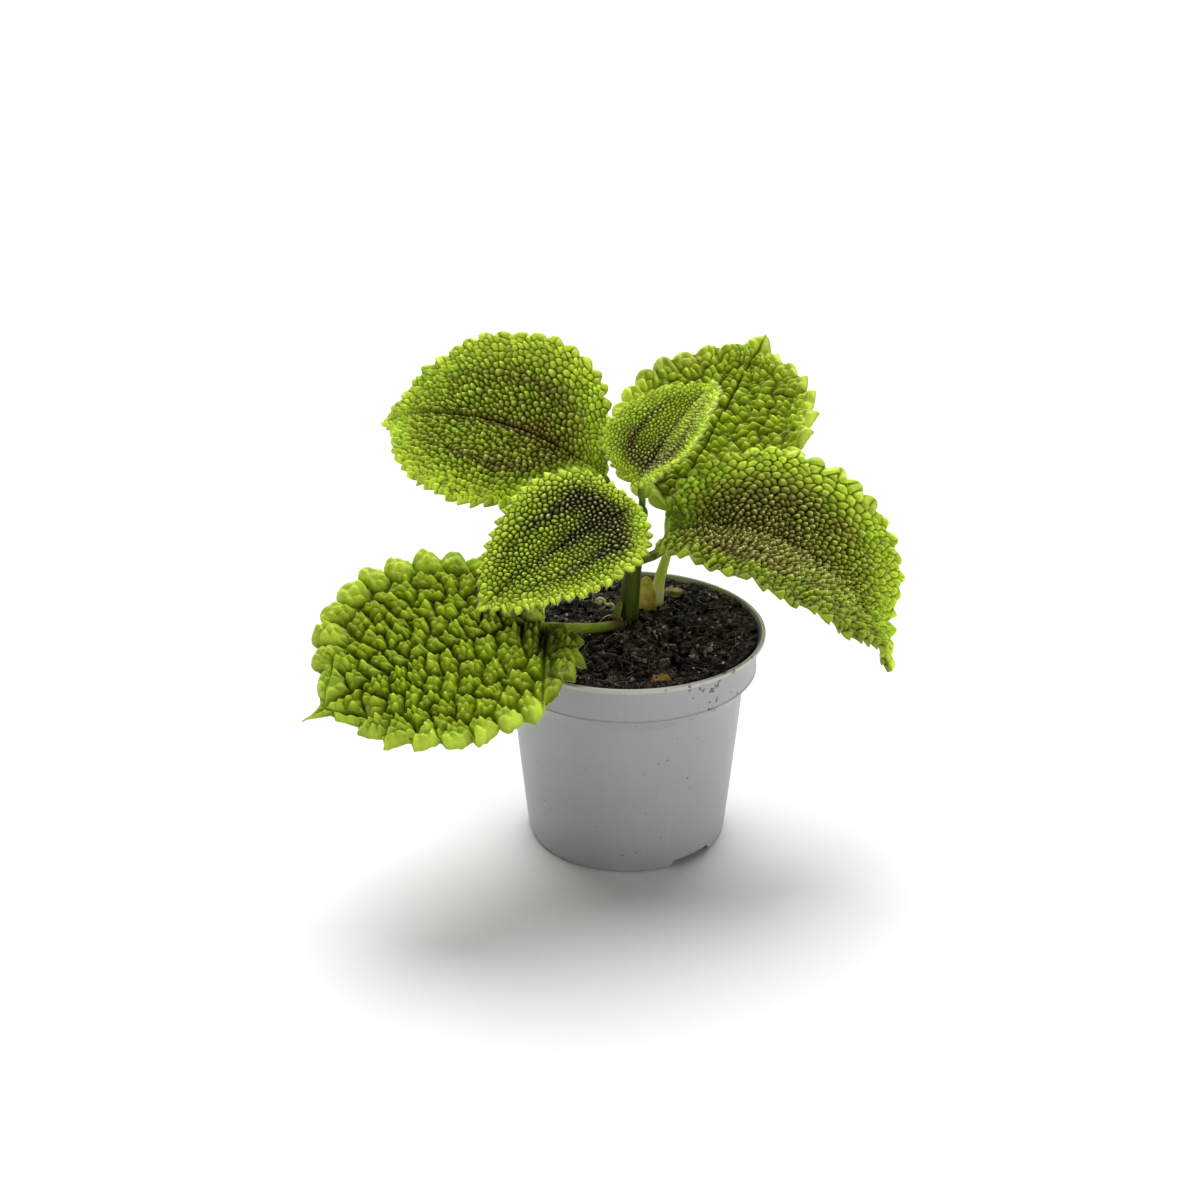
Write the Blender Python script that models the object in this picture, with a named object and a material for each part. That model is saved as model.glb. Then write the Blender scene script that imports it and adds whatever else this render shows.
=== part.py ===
"""A small potted pilea: one shoot with six quilted, toothed leaves in a 60 mm nursery pot.

The plant is an assembly of its own pieces: a thin-walled plastic pot, the peat soil in it, the
upright stem, six leaves that each carry their own petiole, a dry stipule and two bark chips on
the soil. The origin is the centre of the pot's underside, +Z is up and the leaves are named as
seen from -Y.
"""

import math
from dataclasses import dataclass

import bmesh
import bpy
import numpy as np
from mathutils import Vector
from mathutils.geometry import delaunay_2d_cdt

MM = 0.001
CLEARANCE = 0.3  # gap between pieces that touch, in mm like every size below
SEED = 11

# Pot
POT_HEIGHT = 49.0
LIP_RADIUS = 30.0
LIP_WIDTH = 1.1
LIP_EDGE = 0.5
COLLAR_TOP_RADIUS = 28.5
COLLAR_TOP = 47.6
SHOULDER_TOP_RADIUS = 28.1
SHOULDER_TOP = 40.9
SHOULDER_ROUND = 1.2
BODY_TOP_RADIUS = 25.6
BODY_TOP = 37.5
BASE_RADIUS = 22.2
BASE_CORNER = 0.9
WALL = 0.8
FLOOR = 1.0
POT_SIDES = 44

# Drain slots in the foot of the pot
SLOT_ANGLES = (-50, -170, -290)
SLOT_HEIGHT = 1.9
SLOT_INNER_RADIUS = 16.5
SLOT_HALF_ANGLE = 13.0
SLOT_SLANT_ANGLE = 3.0

# Soil
SOIL_TOP = 46.2
SOIL_RADIUS = 27.2
SOIL_MOUND = 0.6
SOIL_CRUMB_SPACING = 4.1
SOIL_CRUMB_HEIGHT = 0.9
SOIL_SIDES = 44
HOLE_DEPTH = 8.0
CHIP_SEAT_RADIUS = 3.4

# Stem
STEM_FOOT = (0.2, 5.0)
STEM_TIP = (2.4, 5.2)
STEM_TOP = 74.4
STEM_FOOT_RADIUS = 2.05
STEM_TIP_RADIUS = 1.6
STEM_RIDGES = 4
STEM_RIDGE = 0.07
STEM_SIDES = 16
NODE_HEIGHTS = (63.0, 73.2)
NODE_SWELL = 0.3
NODE_LENGTH = 1.4

# Blade
BLADE_THICKNESS = 0.7
STATIONS = 90
BACK_REACH = 0.2
VEIN_SIDE = 0.5
RIB_END_RADIUS = 0.3
RIB_REACH = 0.55
CUSHION_TO_RIM = 0.62  # clear distances, in cushion spacings
VALLEY_TO_TOOTH = 0.36
POINT_TO_VEIN = 0.3
VEIN_POINT_STEP = 0.6


@dataclass(frozen=True)
class Leaf:
    """One blade with its petiole: sizes in mm and angles in degrees."""

    name: str
    base: tuple  # where the petiole meets the blade
    azimuth: float  # the way the midrib leaves the base, turning from +X to +Y
    pitch: float  # the climb of the midrib at the base
    droop: float  # how far the midrib bends down by its tip
    roll: float  # tilt of the blade about its midrib, left side up
    length: float
    width: float
    fold: float  # rise of both halves from the midrib
    curl_left: float  # downward curl of the left half at its edge
    curl_right: float
    ovate: float  # how far the widest place lies towards the base
    lobe: float  # reach of the two lobes behind the base
    drip: float  # length of the drawn-out tip
    teeth: int  # along each side
    tooth: float  # depth of a tooth
    bump: float  # height of a cushion between the veins
    spacing: float  # distance between cushions
    petiole: tuple  # points from the stem to the base
    petiole_radius: float = 1.05
    foot_radius: float = 0.0  # radius of a petiole that rises from the soil, over its first stretch


LEAVES = (
    Leaf("leaf_lower_left", (-17.6, -12.0, 55.6), 211, 0, 17, -22, 54, 51, -1, -17, -4, 0.06, 0.11, 0.08,
         13, 2.4, 1.5, 4.4, ((-2.1, 3.7, 48.2), (-6.5, 0.0, 48.6), (-12.0, -5.5, 51.4))),
    Leaf("leaf_lower_right", (9.3, 17.0, 69.0), 60, 28, -5, 4, 55, 46, 6, -9, -2, 0.03, 0.0, 0.10,
         13, 2.2, 1.4, 4.3, ((6.7, 14.7, 40.0), (6.9, 14.7, 49.5), (7.3, 15.0, 53.0), (9.2, 16.4, 60.5)),
         1.05, 1.6),
    Leaf("leaf_upper_left", (-4.7, 14.0, 78.0), 152, 29, 52, -34, 61, 45.5, 8, 8, -6, 0.05, -0.09, 0.09,
         22, 1.4, 1.0, 4.2, ((-0.6, 7.8, 63.2), (-2.8, 11.0, 67.5), (-4.4, 13.4, 74.0))),
    Leaf("leaf_upper_right", (8.9, 1.0, 71.0), -16, 18, 94, 8, 62, 46, 13, -26, 8, 0.06, 0.06, 0.14,
         21, 1.5, 1.0, 4.2, ((4.2, 4.2, 63.2), (6.6, 2.6, 65.4), (8.4, 1.3, 68.6))),
    Leaf("leaf_top_left", (2.2, 1.6, 76.7), 206, -15, 19, -20, 41.5, 34, 7, -5, -10, 0.32, -0.03, 0.06,
         20, 1.0, 0.8, 3.1, ((1.4, 2.2, 72.8), (1.6, 1.7, 74.8)), 0.75),
    Leaf("leaf_top_right", (2.3, 6.6, 78.6), 52, 45, 29, -7, 32.5, 28, 21, 1, 3, 0.32, -0.04, 0.06,
         20, 0.8, 0.7, 2.6, ((3.4, 8.2, 72.8), (3.1, 7.8, 75.4)), 0.75),
)

# Other pieces on the soil
STIPULE_FOOT = (4.4, 12.0)
STIPULE_TOP = 55.6
STIPULE_WIDTH = 3.0
STIPULE_SUNK = 4.0
STIPULE_THICKNESS = 0.8
CHIPS = {
    "bark_chip_front": ((6.6, -22.6), (4.0, 2.8, 1.4), 12),
    "bark_chip_rear": ((10.6, 19.4), (4.4, 2.6, 1.3), -25),
}

FINISHES = {
    "plastic_grey": ((0.235, 0.255, 0.26), 0.42),
    "peat": ((0.018, 0.012, 0.009), 0.95),
    "stem_green": ((0.10, 0.20, 0.03), 0.55),
    "leaf_old": ((0.22, 0.38, 0.03), 0.60),
    "leaf_young": ((0.16, 0.27, 0.03), 0.60),
    "dry_sheath": ((0.42, 0.30, 0.08), 0.70),
    "bark": ((0.35, 0.18, 0.05), 0.85),
}


def clear_scene():
    """Remove the objects that a new file starts with."""
    for old in list(bpy.data.objects):
        bpy.data.objects.remove(old, do_unlink=True)


def material(name):
    """The Principled material of that name, made once."""
    made = bpy.data.materials.get(name)
    if made:
        return made
    colour, roughness = FINISHES[name]
    made = bpy.data.materials.new(name)
    made.use_nodes = True
    shader = made.node_tree.nodes["Principled BSDF"]
    shader.inputs["Base Color"].default_value = (*colour, 1.0)
    shader.inputs["Roughness"].default_value = roughness
    shader.inputs["Metallic"].default_value = 0.0
    return made


def object_from(name, shape, finish, smooth_angle=40):
    """A linked object from a bmesh given in mm, with its material and outward faces."""
    bmesh.ops.recalc_face_normals(shape, faces=shape.faces)
    bmesh.ops.scale(shape, vec=(MM, MM, MM), verts=shape.verts)
    mesh = bpy.data.meshes.new(name)
    shape.to_mesh(mesh)
    shape.free()
    mesh.shade_smooth()
    mesh.set_sharp_from_angle(angle=math.radians(smooth_angle))
    mesh.materials.append(material(finish))
    made = bpy.data.objects.new(name, mesh)
    bpy.context.scene.collection.objects.link(made)
    return made


def hide_helper(helper):
    """Keep a cutter or a joined shape out of renders."""
    helper.hide_render = True
    helper.display_type = "WIRE"
    return helper


def boolean(piece, helper, operation):
    """Cut or join a helper, which stays in the file as a wire."""
    step = piece.modifiers.new(helper.name, "BOOLEAN")
    step.operation = operation
    step.solver = "MANIFOLD" if operation == "UNION" else "EXACT"  # the exact one drops a blade
    step.object = hide_helper(helper)


def arc(centre, radius, start, end, steps):
    """Points of a round stretch of a profile, with angles in degrees."""
    angles = np.radians(np.linspace(start, end, steps))
    return [(centre[0] + radius * math.cos(a), centre[1] + radius * math.sin(a)) for a in angles]


def lathe(name, profile, sides, finish):
    """Turn a closed profile of (radius, height) points about the vertical axis."""
    shape = bmesh.new()
    rings = []
    for radius, height in profile:
        if radius == 0:
            rings.append([shape.verts.new((0, 0, height))])
            continue
        turns = [2 * math.pi * i / sides for i in range(sides)]
        rings.append([shape.verts.new((radius * math.cos(t), radius * math.sin(t), height)) for t in turns])
    for ring, following in zip(rings, rings[1:] + rings[:1]):
        bridge_rings(shape, ring, following)
    return object_from(name, shape, finish)


def bridge_rings(shape, ring, following):
    """Join two rings, either of which may be one point on the axis."""
    count = max(len(ring), len(following))
    if count == 1:
        return
    for i in range(count):
        j = (i + 1) % count
        near = [ring[i % len(ring)], ring[j % len(ring)]]
        far = [following[j % len(following)], following[i % len(following)]]
        shape.faces.new(list(dict.fromkeys(near + far)))


def pot_profile():
    """The wall's section, down the outside, across the floor and up the inside."""
    inner_lip = LIP_RADIUS - LIP_WIDTH
    corner = (BASE_RADIUS - BASE_CORNER, BASE_CORNER)
    outside = [(inner_lip, POT_HEIGHT), (LIP_RADIUS - LIP_EDGE, POT_HEIGHT)]
    outside += [(LIP_RADIUS, POT_HEIGHT - LIP_EDGE), (LIP_RADIUS - LIP_EDGE, COLLAR_TOP + LIP_EDGE)]
    outside += [(COLLAR_TOP_RADIUS, COLLAR_TOP), (SHOULDER_TOP_RADIUS, SHOULDER_TOP)]
    outside += [(SHOULDER_TOP_RADIUS - SHOULDER_ROUND / 3, SHOULDER_TOP - SHOULDER_ROUND)]
    outside += [(BODY_TOP_RADIUS, BODY_TOP)]
    outside += arc(corner, BASE_CORNER, 0, -90, 4)
    outside += [(0, 0)]
    inside = [(0, FLOOR), (BASE_RADIUS - WALL - BASE_CORNER, FLOOR)]
    inside += [(BASE_RADIUS - WALL, FLOOR + BASE_CORNER)]
    inside += [(BODY_TOP_RADIUS - WALL, BODY_TOP + WALL / 2)]
    inside += [(SHOULDER_TOP_RADIUS - WALL, SHOULDER_TOP), (COLLAR_TOP_RADIUS - WALL, COLLAR_TOP)]
    return outside + inside


def drain_slot(index, angle):
    """A wedge with slanted ends that cuts one drain slot through the foot of the wall."""
    low, high = -1.0, SLOT_HEIGHT
    reach = BASE_RADIUS + 2
    shape = bmesh.new()
    corners = []
    for height, half in ((low, SLOT_HALF_ANGLE + SLOT_SLANT_ANGLE), (high, SLOT_HALF_ANGLE)):
        turns = [math.radians(angle + half * side) for side in (-1, -0.33, 0.33, 1)]
        inner = [(SLOT_INNER_RADIUS * math.cos(t), SLOT_INNER_RADIUS * math.sin(t), height) for t in turns]
        outer = [(reach * math.cos(t), reach * math.sin(t), height) for t in reversed(turns)]
        corners.append([shape.verts.new(point) for point in inner + outer])
    shape.faces.new(corners[0])
    shape.faces.new(corners[1])
    bridge_rings(shape, corners[0], corners[1])
    return object_from(f"drain_slot_cutter_{index}", shape, "plastic_grey")


def make_pot():
    """The nursery pot: tapered body, collar, thin flared lip and three drain slots."""
    pot = lathe("pot", pot_profile(), POT_SIDES, "plastic_grey")
    for index, angle in enumerate(SLOT_ANGLES):
        boolean(pot, drain_slot(index, angle), "DIFFERENCE")


def jitter(points, amount, dice):
    """Move each point by up to that amount each way."""
    return [(x + dice.uniform(-amount, amount), y + dice.uniform(-amount, amount)) for x, y in points]


def cushion_lattice(reach, spacing):
    """Tops and valleys of a honeycomb of cushions over a square of that half side."""
    tops, valleys = [], []
    fine = spacing / math.sqrt(3)
    rows = int(reach / (spacing / 2)) + 1
    columns = int(reach / (fine * 1.5)) + 1
    for column in range(-columns, columns + 1):
        for row in range(-rows, rows + 1):
            if (row + column) % 2:
                continue
            x, y = column * fine * 1.5, row * spacing / 2
            tops.append((x, y))
            valleys += [(x + fine, y), (x + fine / 2, y + spacing / 2)]
    return tops, valleys


def triangulate(points, outline):
    """Triangles over the points inside the outline, whose points come first in the list."""
    edge = list(range(len(outline)))
    found = delaunay_2d_cdt([Vector(p) for p in points], [], [edge], 1, 1e-5)
    placed, faces, sources = found[0], found[2], found[3]
    return [tuple(p) for p in placed], faces, [source[0] for source in sources]


def solid_sheet(top, bottom, faces):
    """A closed bmesh from two layers of points that share the same triangles."""
    shape = bmesh.new()
    upper = [shape.verts.new(point) for point in top]
    lower = [shape.verts.new(point) for point in bottom]
    used = set()
    for face in faces:
        shape.faces.new([upper[i] for i in face])
        shape.faces.new([lower[i] for i in reversed(face)])
        used.update(zip(face, face[1:] + face[:1]))
    for i, j in used:
        if (j, i) not in used:
            shape.faces.new([upper[j], upper[i], lower[i], lower[j]])
    return shape


def inside_outline(outline, points):
    """Which points lie inside a closed outline, by counting crossings."""
    x, y = np.asarray(points, float).T
    ring = np.asarray(outline, float)
    after = np.roll(ring, -1, axis=0)
    inside = np.zeros(len(x), bool)
    for (x0, y0), (x1, y1) in zip(ring, after):
        if y0 == y1:
            continue
        crossed = ((y0 > y) != (y1 > y)) & (x < (x1 - x0) * (y - y0) / (y1 - y0) + x0)
        inside ^= crossed
    return inside


def soil_outline():
    """The ring where the soil meets the pot's wall."""
    turns = [2 * math.pi * i / SOIL_SIDES for i in range(SOIL_SIDES)]
    return [(SOIL_RADIUS * math.cos(t), SOIL_RADIUS * math.sin(t)) for t in turns]


def near_chip(x, y):
    """Whether a place lies on a bark chip's flat seat."""
    return any(math.dist((x, y), place) < CHIP_SEAT_RADIUS for place, _, _ in CHIPS.values())


def soil_height(x, y, crumb):
    """Height of the soil's surface, flat where a chip lies and heaped a little at the stem."""
    if near_chip(x, y):
        return SOIL_TOP
    heap = SOIL_MOUND * math.exp(-math.dist((x, y), STEM_FOOT) ** 2 / 80)
    return SOIL_TOP + heap + crumb * SOIL_CRUMB_HEIGHT


def make_soil():
    """Peat that fills the pot, with a crumbly top and plain holes for what grows from it."""
    dice = np.random.default_rng(SEED)
    outline = soil_outline()
    tops, valleys = cushion_lattice(SOIL_RADIUS, SOIL_CRUMB_SPACING)
    tops = jitter(tops, SOIL_CRUMB_SPACING / 5, dice)
    valleys = jitter(valleys, SOIL_CRUMB_SPACING / 8, dice)
    reach = SOIL_RADIUS - SOIL_CRUMB_SPACING / 3
    tops = [p for p in tops if math.hypot(*p) < reach]
    valleys = [p for p in valleys if math.hypot(*p) < reach]
    points, faces, sources = triangulate(outline + tops + valleys, outline)
    heights = []
    for (x, y), source in zip(points, sources):
        is_top = len(outline) <= source < len(outline) + len(tops)
        crumb = dice.uniform(0.2, 1.0) if is_top else dice.uniform(-0.6, 0.0)
        heights.append(soil_height(x, y, 0.0 if source < len(outline) else crumb))
    top = [(x, y, z) for (x, y), z in zip(points, heights)]
    shape = soil_body(top, faces, [sources.index(i) for i in range(len(outline))])
    soil = object_from("soil", shape, "peat")
    for cutter in soil_holes():
        boolean(soil, cutter, "DIFFERENCE")


def soil_body(top, faces, ring):
    """Close the soil's top with its side and bottom, just inside the pot."""
    shape = bmesh.new()
    upper = [shape.verts.new(point) for point in top]
    for face in faces:
        shape.faces.new([upper[i] for i in face])
    gap = WALL + CLEARANCE
    levels = [(SHOULDER_TOP_RADIUS - gap, SHOULDER_TOP), (BODY_TOP_RADIUS - gap, BODY_TOP + WALL)]
    levels += [(BASE_RADIUS - gap, FLOOR + BASE_CORNER + CLEARANCE)]
    levels += [(BASE_RADIUS - gap - BASE_CORNER, FLOOR + CLEARANCE)]
    previous = [upper[i] for i in ring]
    for radius, height in levels:
        scale = radius / SOIL_RADIUS
        following = [shape.verts.new((x * scale, y * scale, height)) for x, y in soil_outline()]
        bridge_rings(shape, previous, following)
        previous = following
    shape.faces.new(previous)
    return shape


def soil_holes():
    """Plain round holes for the stem, the rear petiole and the dry stipule."""
    rear = next(leaf for leaf in LEAVES if leaf.name == "leaf_lower_right")
    holes = {
        "stem": (*STEM_FOOT, STEM_FOOT_RADIUS * (1 + STEM_RIDGE)),
        "rear_petiole": (*rear.petiole[0][:2], rear.foot_radius),
        "stipule": (*STIPULE_FOOT, STIPULE_WIDTH / 2),
    }
    for name, (x, y, radius) in holes.items():
        low = SOIL_TOP - HOLE_DEPTH - CLEARANCE
        path = [(x, y, low), (x, y, SOIL_TOP + 3)]
        yield tube(f"{name}_hole_cutter", path, [radius + CLEARANCE] * 2, 16, "peat")


def smooth_path(points, steps):
    """Points along a smooth curve through the given ones."""
    knots = [Vector(p) for p in points]
    padded = [knots[0] * 2 - knots[1], *knots, knots[-1] * 2 - knots[-2]]
    path = []
    for before, start, end, after in zip(padded, padded[1:], padded[2:], padded[3:]):
        for i in range(steps):
            t = i / steps
            curve = (end - before) * t + (before * 2 - start * 5 + end * 4 - after) * t**2
            curve += (start * 3 - before - end * 3 + after) * t**3
            path.append(start + curve / 2)
    return path + [knots[-1]]


def tube(name, path, radii, sides, finish, ridges=0, ridge=0.0):
    """A round or ridged rod along a path, closed at both ends."""
    path = [Vector(p) for p in path]
    shape = bmesh.new()
    rings = []
    across = (path[1] - path[0]).orthogonal().normalized()
    for i, (point, radius) in enumerate(zip(path, radii)):
        along = (path[min(i + 1, len(path) - 1)] - path[max(i - 1, 0)]).normalized()
        across = (across - along * across.dot(along)).normalized()
        over = along.cross(across)
        ring = []
        for k in range(sides):
            turn = 2 * math.pi * k / sides
            reach = radius * (1 + ridge * math.cos(ridges * turn))
            offset = across * math.cos(turn) + over * math.sin(turn)
            ring.append(shape.verts.new(point + offset * reach))
        rings.append(ring)
    for ring, following in zip(rings, rings[1:]):
        bridge_rings(shape, ring, following)
    shape.faces.new(rings[0])
    shape.faces.new(rings[-1])
    return object_from(name, shape, finish, 60)


def stem_radius(height):
    """The stem tapers upwards and swells where a pair of leaves grows."""
    share = (height - SOIL_TOP) / (STEM_TOP - SOIL_TOP)
    plain = STEM_FOOT_RADIUS + (STEM_TIP_RADIUS - STEM_FOOT_RADIUS) * min(max(share, 0), 1)
    swells = [math.exp(-(((height - node) / NODE_LENGTH) ** 2)) for node in NODE_HEIGHTS]
    return plain + NODE_SWELL * sum(swells)


def stem_point(height):
    """The stem's axis at a height, with a slight lean."""
    share = min(max((height - SOIL_TOP) / (STEM_TOP - SOIL_TOP), 0), 1)
    x = STEM_FOOT[0] + (STEM_TIP[0] - STEM_FOOT[0]) * share**1.3
    y = STEM_FOOT[1] + (STEM_TIP[1] - STEM_FOOT[1]) * share
    return x, y, height


def make_stem():
    """The ridged main stem, sunk in its hole and closed by a low bud at the top."""
    heights = [SOIL_TOP - HOLE_DEPTH, SOIL_TOP, 50.0, 54.0, 58.0, 61.0, 62.2, 63.0, 63.8, 65.0]
    heights += [69.0, 72.0, 73.2, STEM_TOP]
    radii = [stem_radius(height) for height in heights]
    heights += [STEM_TOP + 0.7, STEM_TOP + 1.1]
    radii += [STEM_TIP_RADIUS * 0.7, STEM_TIP_RADIUS * 0.3]
    path = [stem_point(height) for height in heights]
    tube("stem", path, radii, STEM_SIDES, "stem_green", STEM_RIDGES, STEM_RIDGE)


def blade_frames(leaf):
    """The bent midrib: distance along it, its points, and the blade's side and upward directions."""
    along = np.linspace(-BACK_REACH, 1.0, STATIONS) * leaf.length
    share = np.clip(along / leaf.length, 0, 1)
    pitch = np.radians(leaf.pitch - leaf.droop * share)
    turn, roll = np.radians(leaf.azimuth), np.radians(leaf.roll)
    ahead = np.stack([np.cos(pitch) * np.cos(turn), np.cos(pitch) * np.sin(turn), np.sin(pitch)], -1)
    level = np.stack([-np.sin(turn) + 0 * along, np.cos(turn) + 0 * along, 0 * along], -1)
    side = level * np.cos(roll) + np.cross(ahead, level) * np.sin(roll)
    steps = np.diff(along)[:, None] * (ahead[1:] + ahead[:-1]) / 2
    points = np.concatenate([np.zeros((1, 3)), np.cumsum(steps, axis=0)])
    start = np.array([np.interp(0, along, points[:, i]) for i in range(3)])
    return along, points - start + np.array(leaf.base), side, np.cross(ahead, side)


def on_blade(leaf, flat, lift):
    """Places of flat blade points (along, across) on the bent leaf, lifted along its surface's normal."""
    x, y = np.asarray(flat, float).T
    along, points, side, up = blade_frames(leaf)
    rows = (points, side, up)
    middle, side, up = (np.stack([np.interp(x, along, row[:, i]) for i in range(3)], -1) for row in rows)
    curl = np.radians(np.where(y >= 0, leaf.curl_left, leaf.curl_right)) / (leaf.width / 2)
    curl = np.where(abs(curl) < 1e-5, 1e-5, curl)
    start = np.radians(leaf.fold)
    angle = start - curl * abs(y)
    out = (np.sin(start) - np.sin(angle)) / curl * np.sign(y)
    rise = (np.cos(angle) - np.cos(start)) / curl
    normal = up * np.cos(angle)[:, None] - side * (np.sign(y) * np.sin(angle))[:, None]
    return middle + side * out[:, None] + up * rise[:, None] + normal * np.asarray(lift)[:, None]


def half_outline(leaf, steps):
    """The untoothed edge of the blade's left half, from the tip to the notch at the base."""
    turn = np.linspace(0, np.pi, steps)
    back = (1 - np.cos(turn)) / 2
    tip = leaf.drip * np.exp(-((turn / 0.22) ** 2))
    x = (1 - back) * (1 - leaf.drip) + tip - leaf.lobe * 2.2 * np.sin(turn) * back**6
    y = np.sin(turn) * (1 - leaf.ovate * np.cos(turn))
    return x * leaf.length, y / y.max() * leaf.width / 2


def toothed_half(leaf):
    """The left half's edge with teeth that lean to the tip, three points a tooth, and each tooth's middle."""
    x, y = half_outline(leaf, 400)
    run = np.concatenate([[0], np.cumsum(np.hypot(np.diff(x), np.diff(y)))])
    edge, middles = [], []
    pitch = run[-1] / leaf.teeth
    for i in range(leaf.teeth):
        for share, height in ((0.0, -0.5), (0.3, 0.5), (0.7, 0.25)):
            edge.append(outward(x, y, run, (i + share) * pitch, height * leaf.tooth * tooth_size(i, leaf)))
        if 0 < i < leaf.teeth - 1:
            middles.append(outward(x, y, run, (i + 0.45) * pitch, -0.42 * pitch))
    edge[0] = (x[0], 0.0)
    return edge + [(float(x[-1]), 0.0)], middles


def tooth_size(i, leaf):
    """Teeth are smaller next to the tip and the base."""
    return min(1.0, 0.35 + 0.3 * min(i, leaf.teeth - 1 - i))


def outward(x, y, run, distance, reach):
    """The point at a distance along the edge, moved outwards by a reach."""
    here = np.array([np.interp(distance, run, x), np.interp(distance, run, y)])
    ahead = np.array([np.interp(distance + 0.2, run, x), np.interp(distance + 0.2, run, y)])
    behind = np.array([np.interp(distance - 0.2, run, x), np.interp(distance - 0.2, run, y)])
    tangent = (ahead - behind) / np.linalg.norm(ahead - behind)
    moved = here + np.array([tangent[1], -tangent[0]]) * reach
    return float(moved[0]), float(max(moved[1], 0.0))


def side_vein(leaf):
    """The left of the two veins that leave the base and arch to the tip."""
    x, y = half_outline(leaf, 60)
    keep = (x > 0.06 * leaf.length) & (x < 0.86 * leaf.length) & (y > 0)
    return list(zip(x[keep], y[keep] * VEIN_SIDE))


def spaced(path, spacing):
    """Points along a polyline at about the given spacing."""
    path = np.asarray(path, float)
    run = np.concatenate([[0], np.cumsum(np.hypot(*np.diff(path, axis=0).T))])
    stops = np.linspace(0, run[-1], max(2, round(run[-1] / spacing)))
    return [(float(np.interp(s, run, path[:, 0])), float(np.interp(s, run, path[:, 1]))) for s in stops]


def mirrored(points):
    """The same points on the other side of the midrib."""
    return [(x, -y) for x, y in points]


def blade_points(leaf, dice):
    """The blade's flat points as (outline, cushion tops, valleys), with veins kept as valleys."""
    edge, middles = toothed_half(leaf)
    outline = edge + mirrored(edge[-2:0:-1])
    outline.reverse()
    midrib = spaced([(0.02 * leaf.length, 0), (0.93 * leaf.length, 0)], leaf.spacing * VEIN_POINT_STEP)
    vein = spaced(side_vein(leaf), leaf.spacing * VEIN_POINT_STEP)
    veins = midrib + vein + mirrored(vein)
    tops, valleys = cushion_lattice(leaf.length, leaf.spacing)
    tops = jitter(tops, leaf.spacing / 9, dice)
    valleys = jitter(valleys, leaf.spacing / 14, dice)
    rim = edge + mirrored(edge)
    tooth_tops = middles + mirrored(middles)
    clear = leaf.width * np.pi / leaf.teeth / 2 * 0.35
    far, near, beside = (leaf.spacing * share for share in (CUSHION_TO_RIM, VALLEY_TO_TOOTH, POINT_TO_VEIN))
    tops = keep_clear(tops, ((rim, far), (tooth_tops, far), (veins, beside)))
    valleys = keep_clear(valleys, ((rim, clear), (tooth_tops, near), (veins, beside)))
    inside = [inside_outline(outline, group) for group in (tops, valleys)]
    tops = [p for p, kept in zip(tops, inside[0]) if kept]
    valleys = [p for p, kept in zip(valleys, inside[1]) if kept]
    return outline, tooth_tops + tops, veins + valleys


def keep_clear(points, rules):
    """The points that keep each rule's distance from its path."""
    for path, gap in rules:
        path = np.asarray(path, float)
        points = [p for p in points if np.hypot(*(path - p).T).min() > gap]
    return points


def make_blade(leaf, dice):
    """The quilted blade: cushions on its upper face, the same triangles on its lower face."""
    outline, tops, valleys = blade_points(leaf, dice)
    points, faces, sources = triangulate(outline + tops + valleys, outline)
    first, last = len(outline), len(outline) + len(tops)
    relief = np.array([leaf.bump * dice.uniform(0.7, 1.15) if first <= s < last else 0.0 for s in sources])
    top = on_blade(leaf, points, relief)
    bottom = on_blade(leaf, points, np.full(len(points), -BLADE_THICKNESS))
    finish = "leaf_old" if "lower" in leaf.name else "leaf_young"
    return object_from(leaf.name, solid_sheet(top, bottom, faces), finish)


def make_petiole(leaf):
    """The petiole, which runs on under the blade as its tapering midrib."""
    shares = (0.0, 0.12, 0.3, RIB_REACH)
    along = [(share * leaf.length, 0.0) for share in shares]
    taper = np.interp(shares, (0, RIB_REACH), (leaf.petiole_radius, RIB_END_RADIUS))
    under = on_blade(leaf, along, -BLADE_THICKNESS / 2 - (taper - RIB_END_RADIUS))
    points = list(leaf.petiole) + [tuple(point) for point in under]
    knots = [leaf.petiole_radius] * len(leaf.petiole) + list(taper)
    if leaf.foot_radius:
        knots[:2] = [leaf.foot_radius] * 2
    steps = 3
    path = smooth_path(points, steps)
    radii = np.interp(np.arange(len(path)) / steps, np.arange(len(knots)), knots)
    return tube(f"{leaf.name}_petiole", path, radii, 8, "stem_green")


def make_leaves():
    """Three crossed pairs of leaves, each leaf one piece with its petiole."""
    dice = np.random.default_rng(SEED)
    for leaf in LEAVES:
        blade = make_blade(leaf, dice)
        boolean(blade, make_petiole(leaf), "UNION")


def make_stipule():
    """The dry, tongue-shaped stipule that stands by the rear petiole."""
    foot = SOIL_TOP - STIPULE_SUNK
    size = (STIPULE_WIDTH, STIPULE_THICKNESS, STIPULE_TOP - foot)
    shape = bmesh.new()
    bmesh.ops.create_cube(shape, size=1)
    top = [edge for edge in shape.edges if all(vert.co.z > 0 for vert in edge.verts)]
    upper = [edge for edge in top if edge.verts[0].co.x == edge.verts[1].co.x]
    bmesh.ops.scale(shape, vec=size, verts=shape.verts)
    bmesh.ops.bevel(shape, geom=upper, offset=STIPULE_WIDTH * 0.4, segments=4, profile=0.5, affect="EDGES")
    bmesh.ops.translate(shape, vec=(*STIPULE_FOOT, foot + size[2] / 2), verts=shape.verts)
    object_from("dry_stipule", shape, "dry_sheath")


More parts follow.
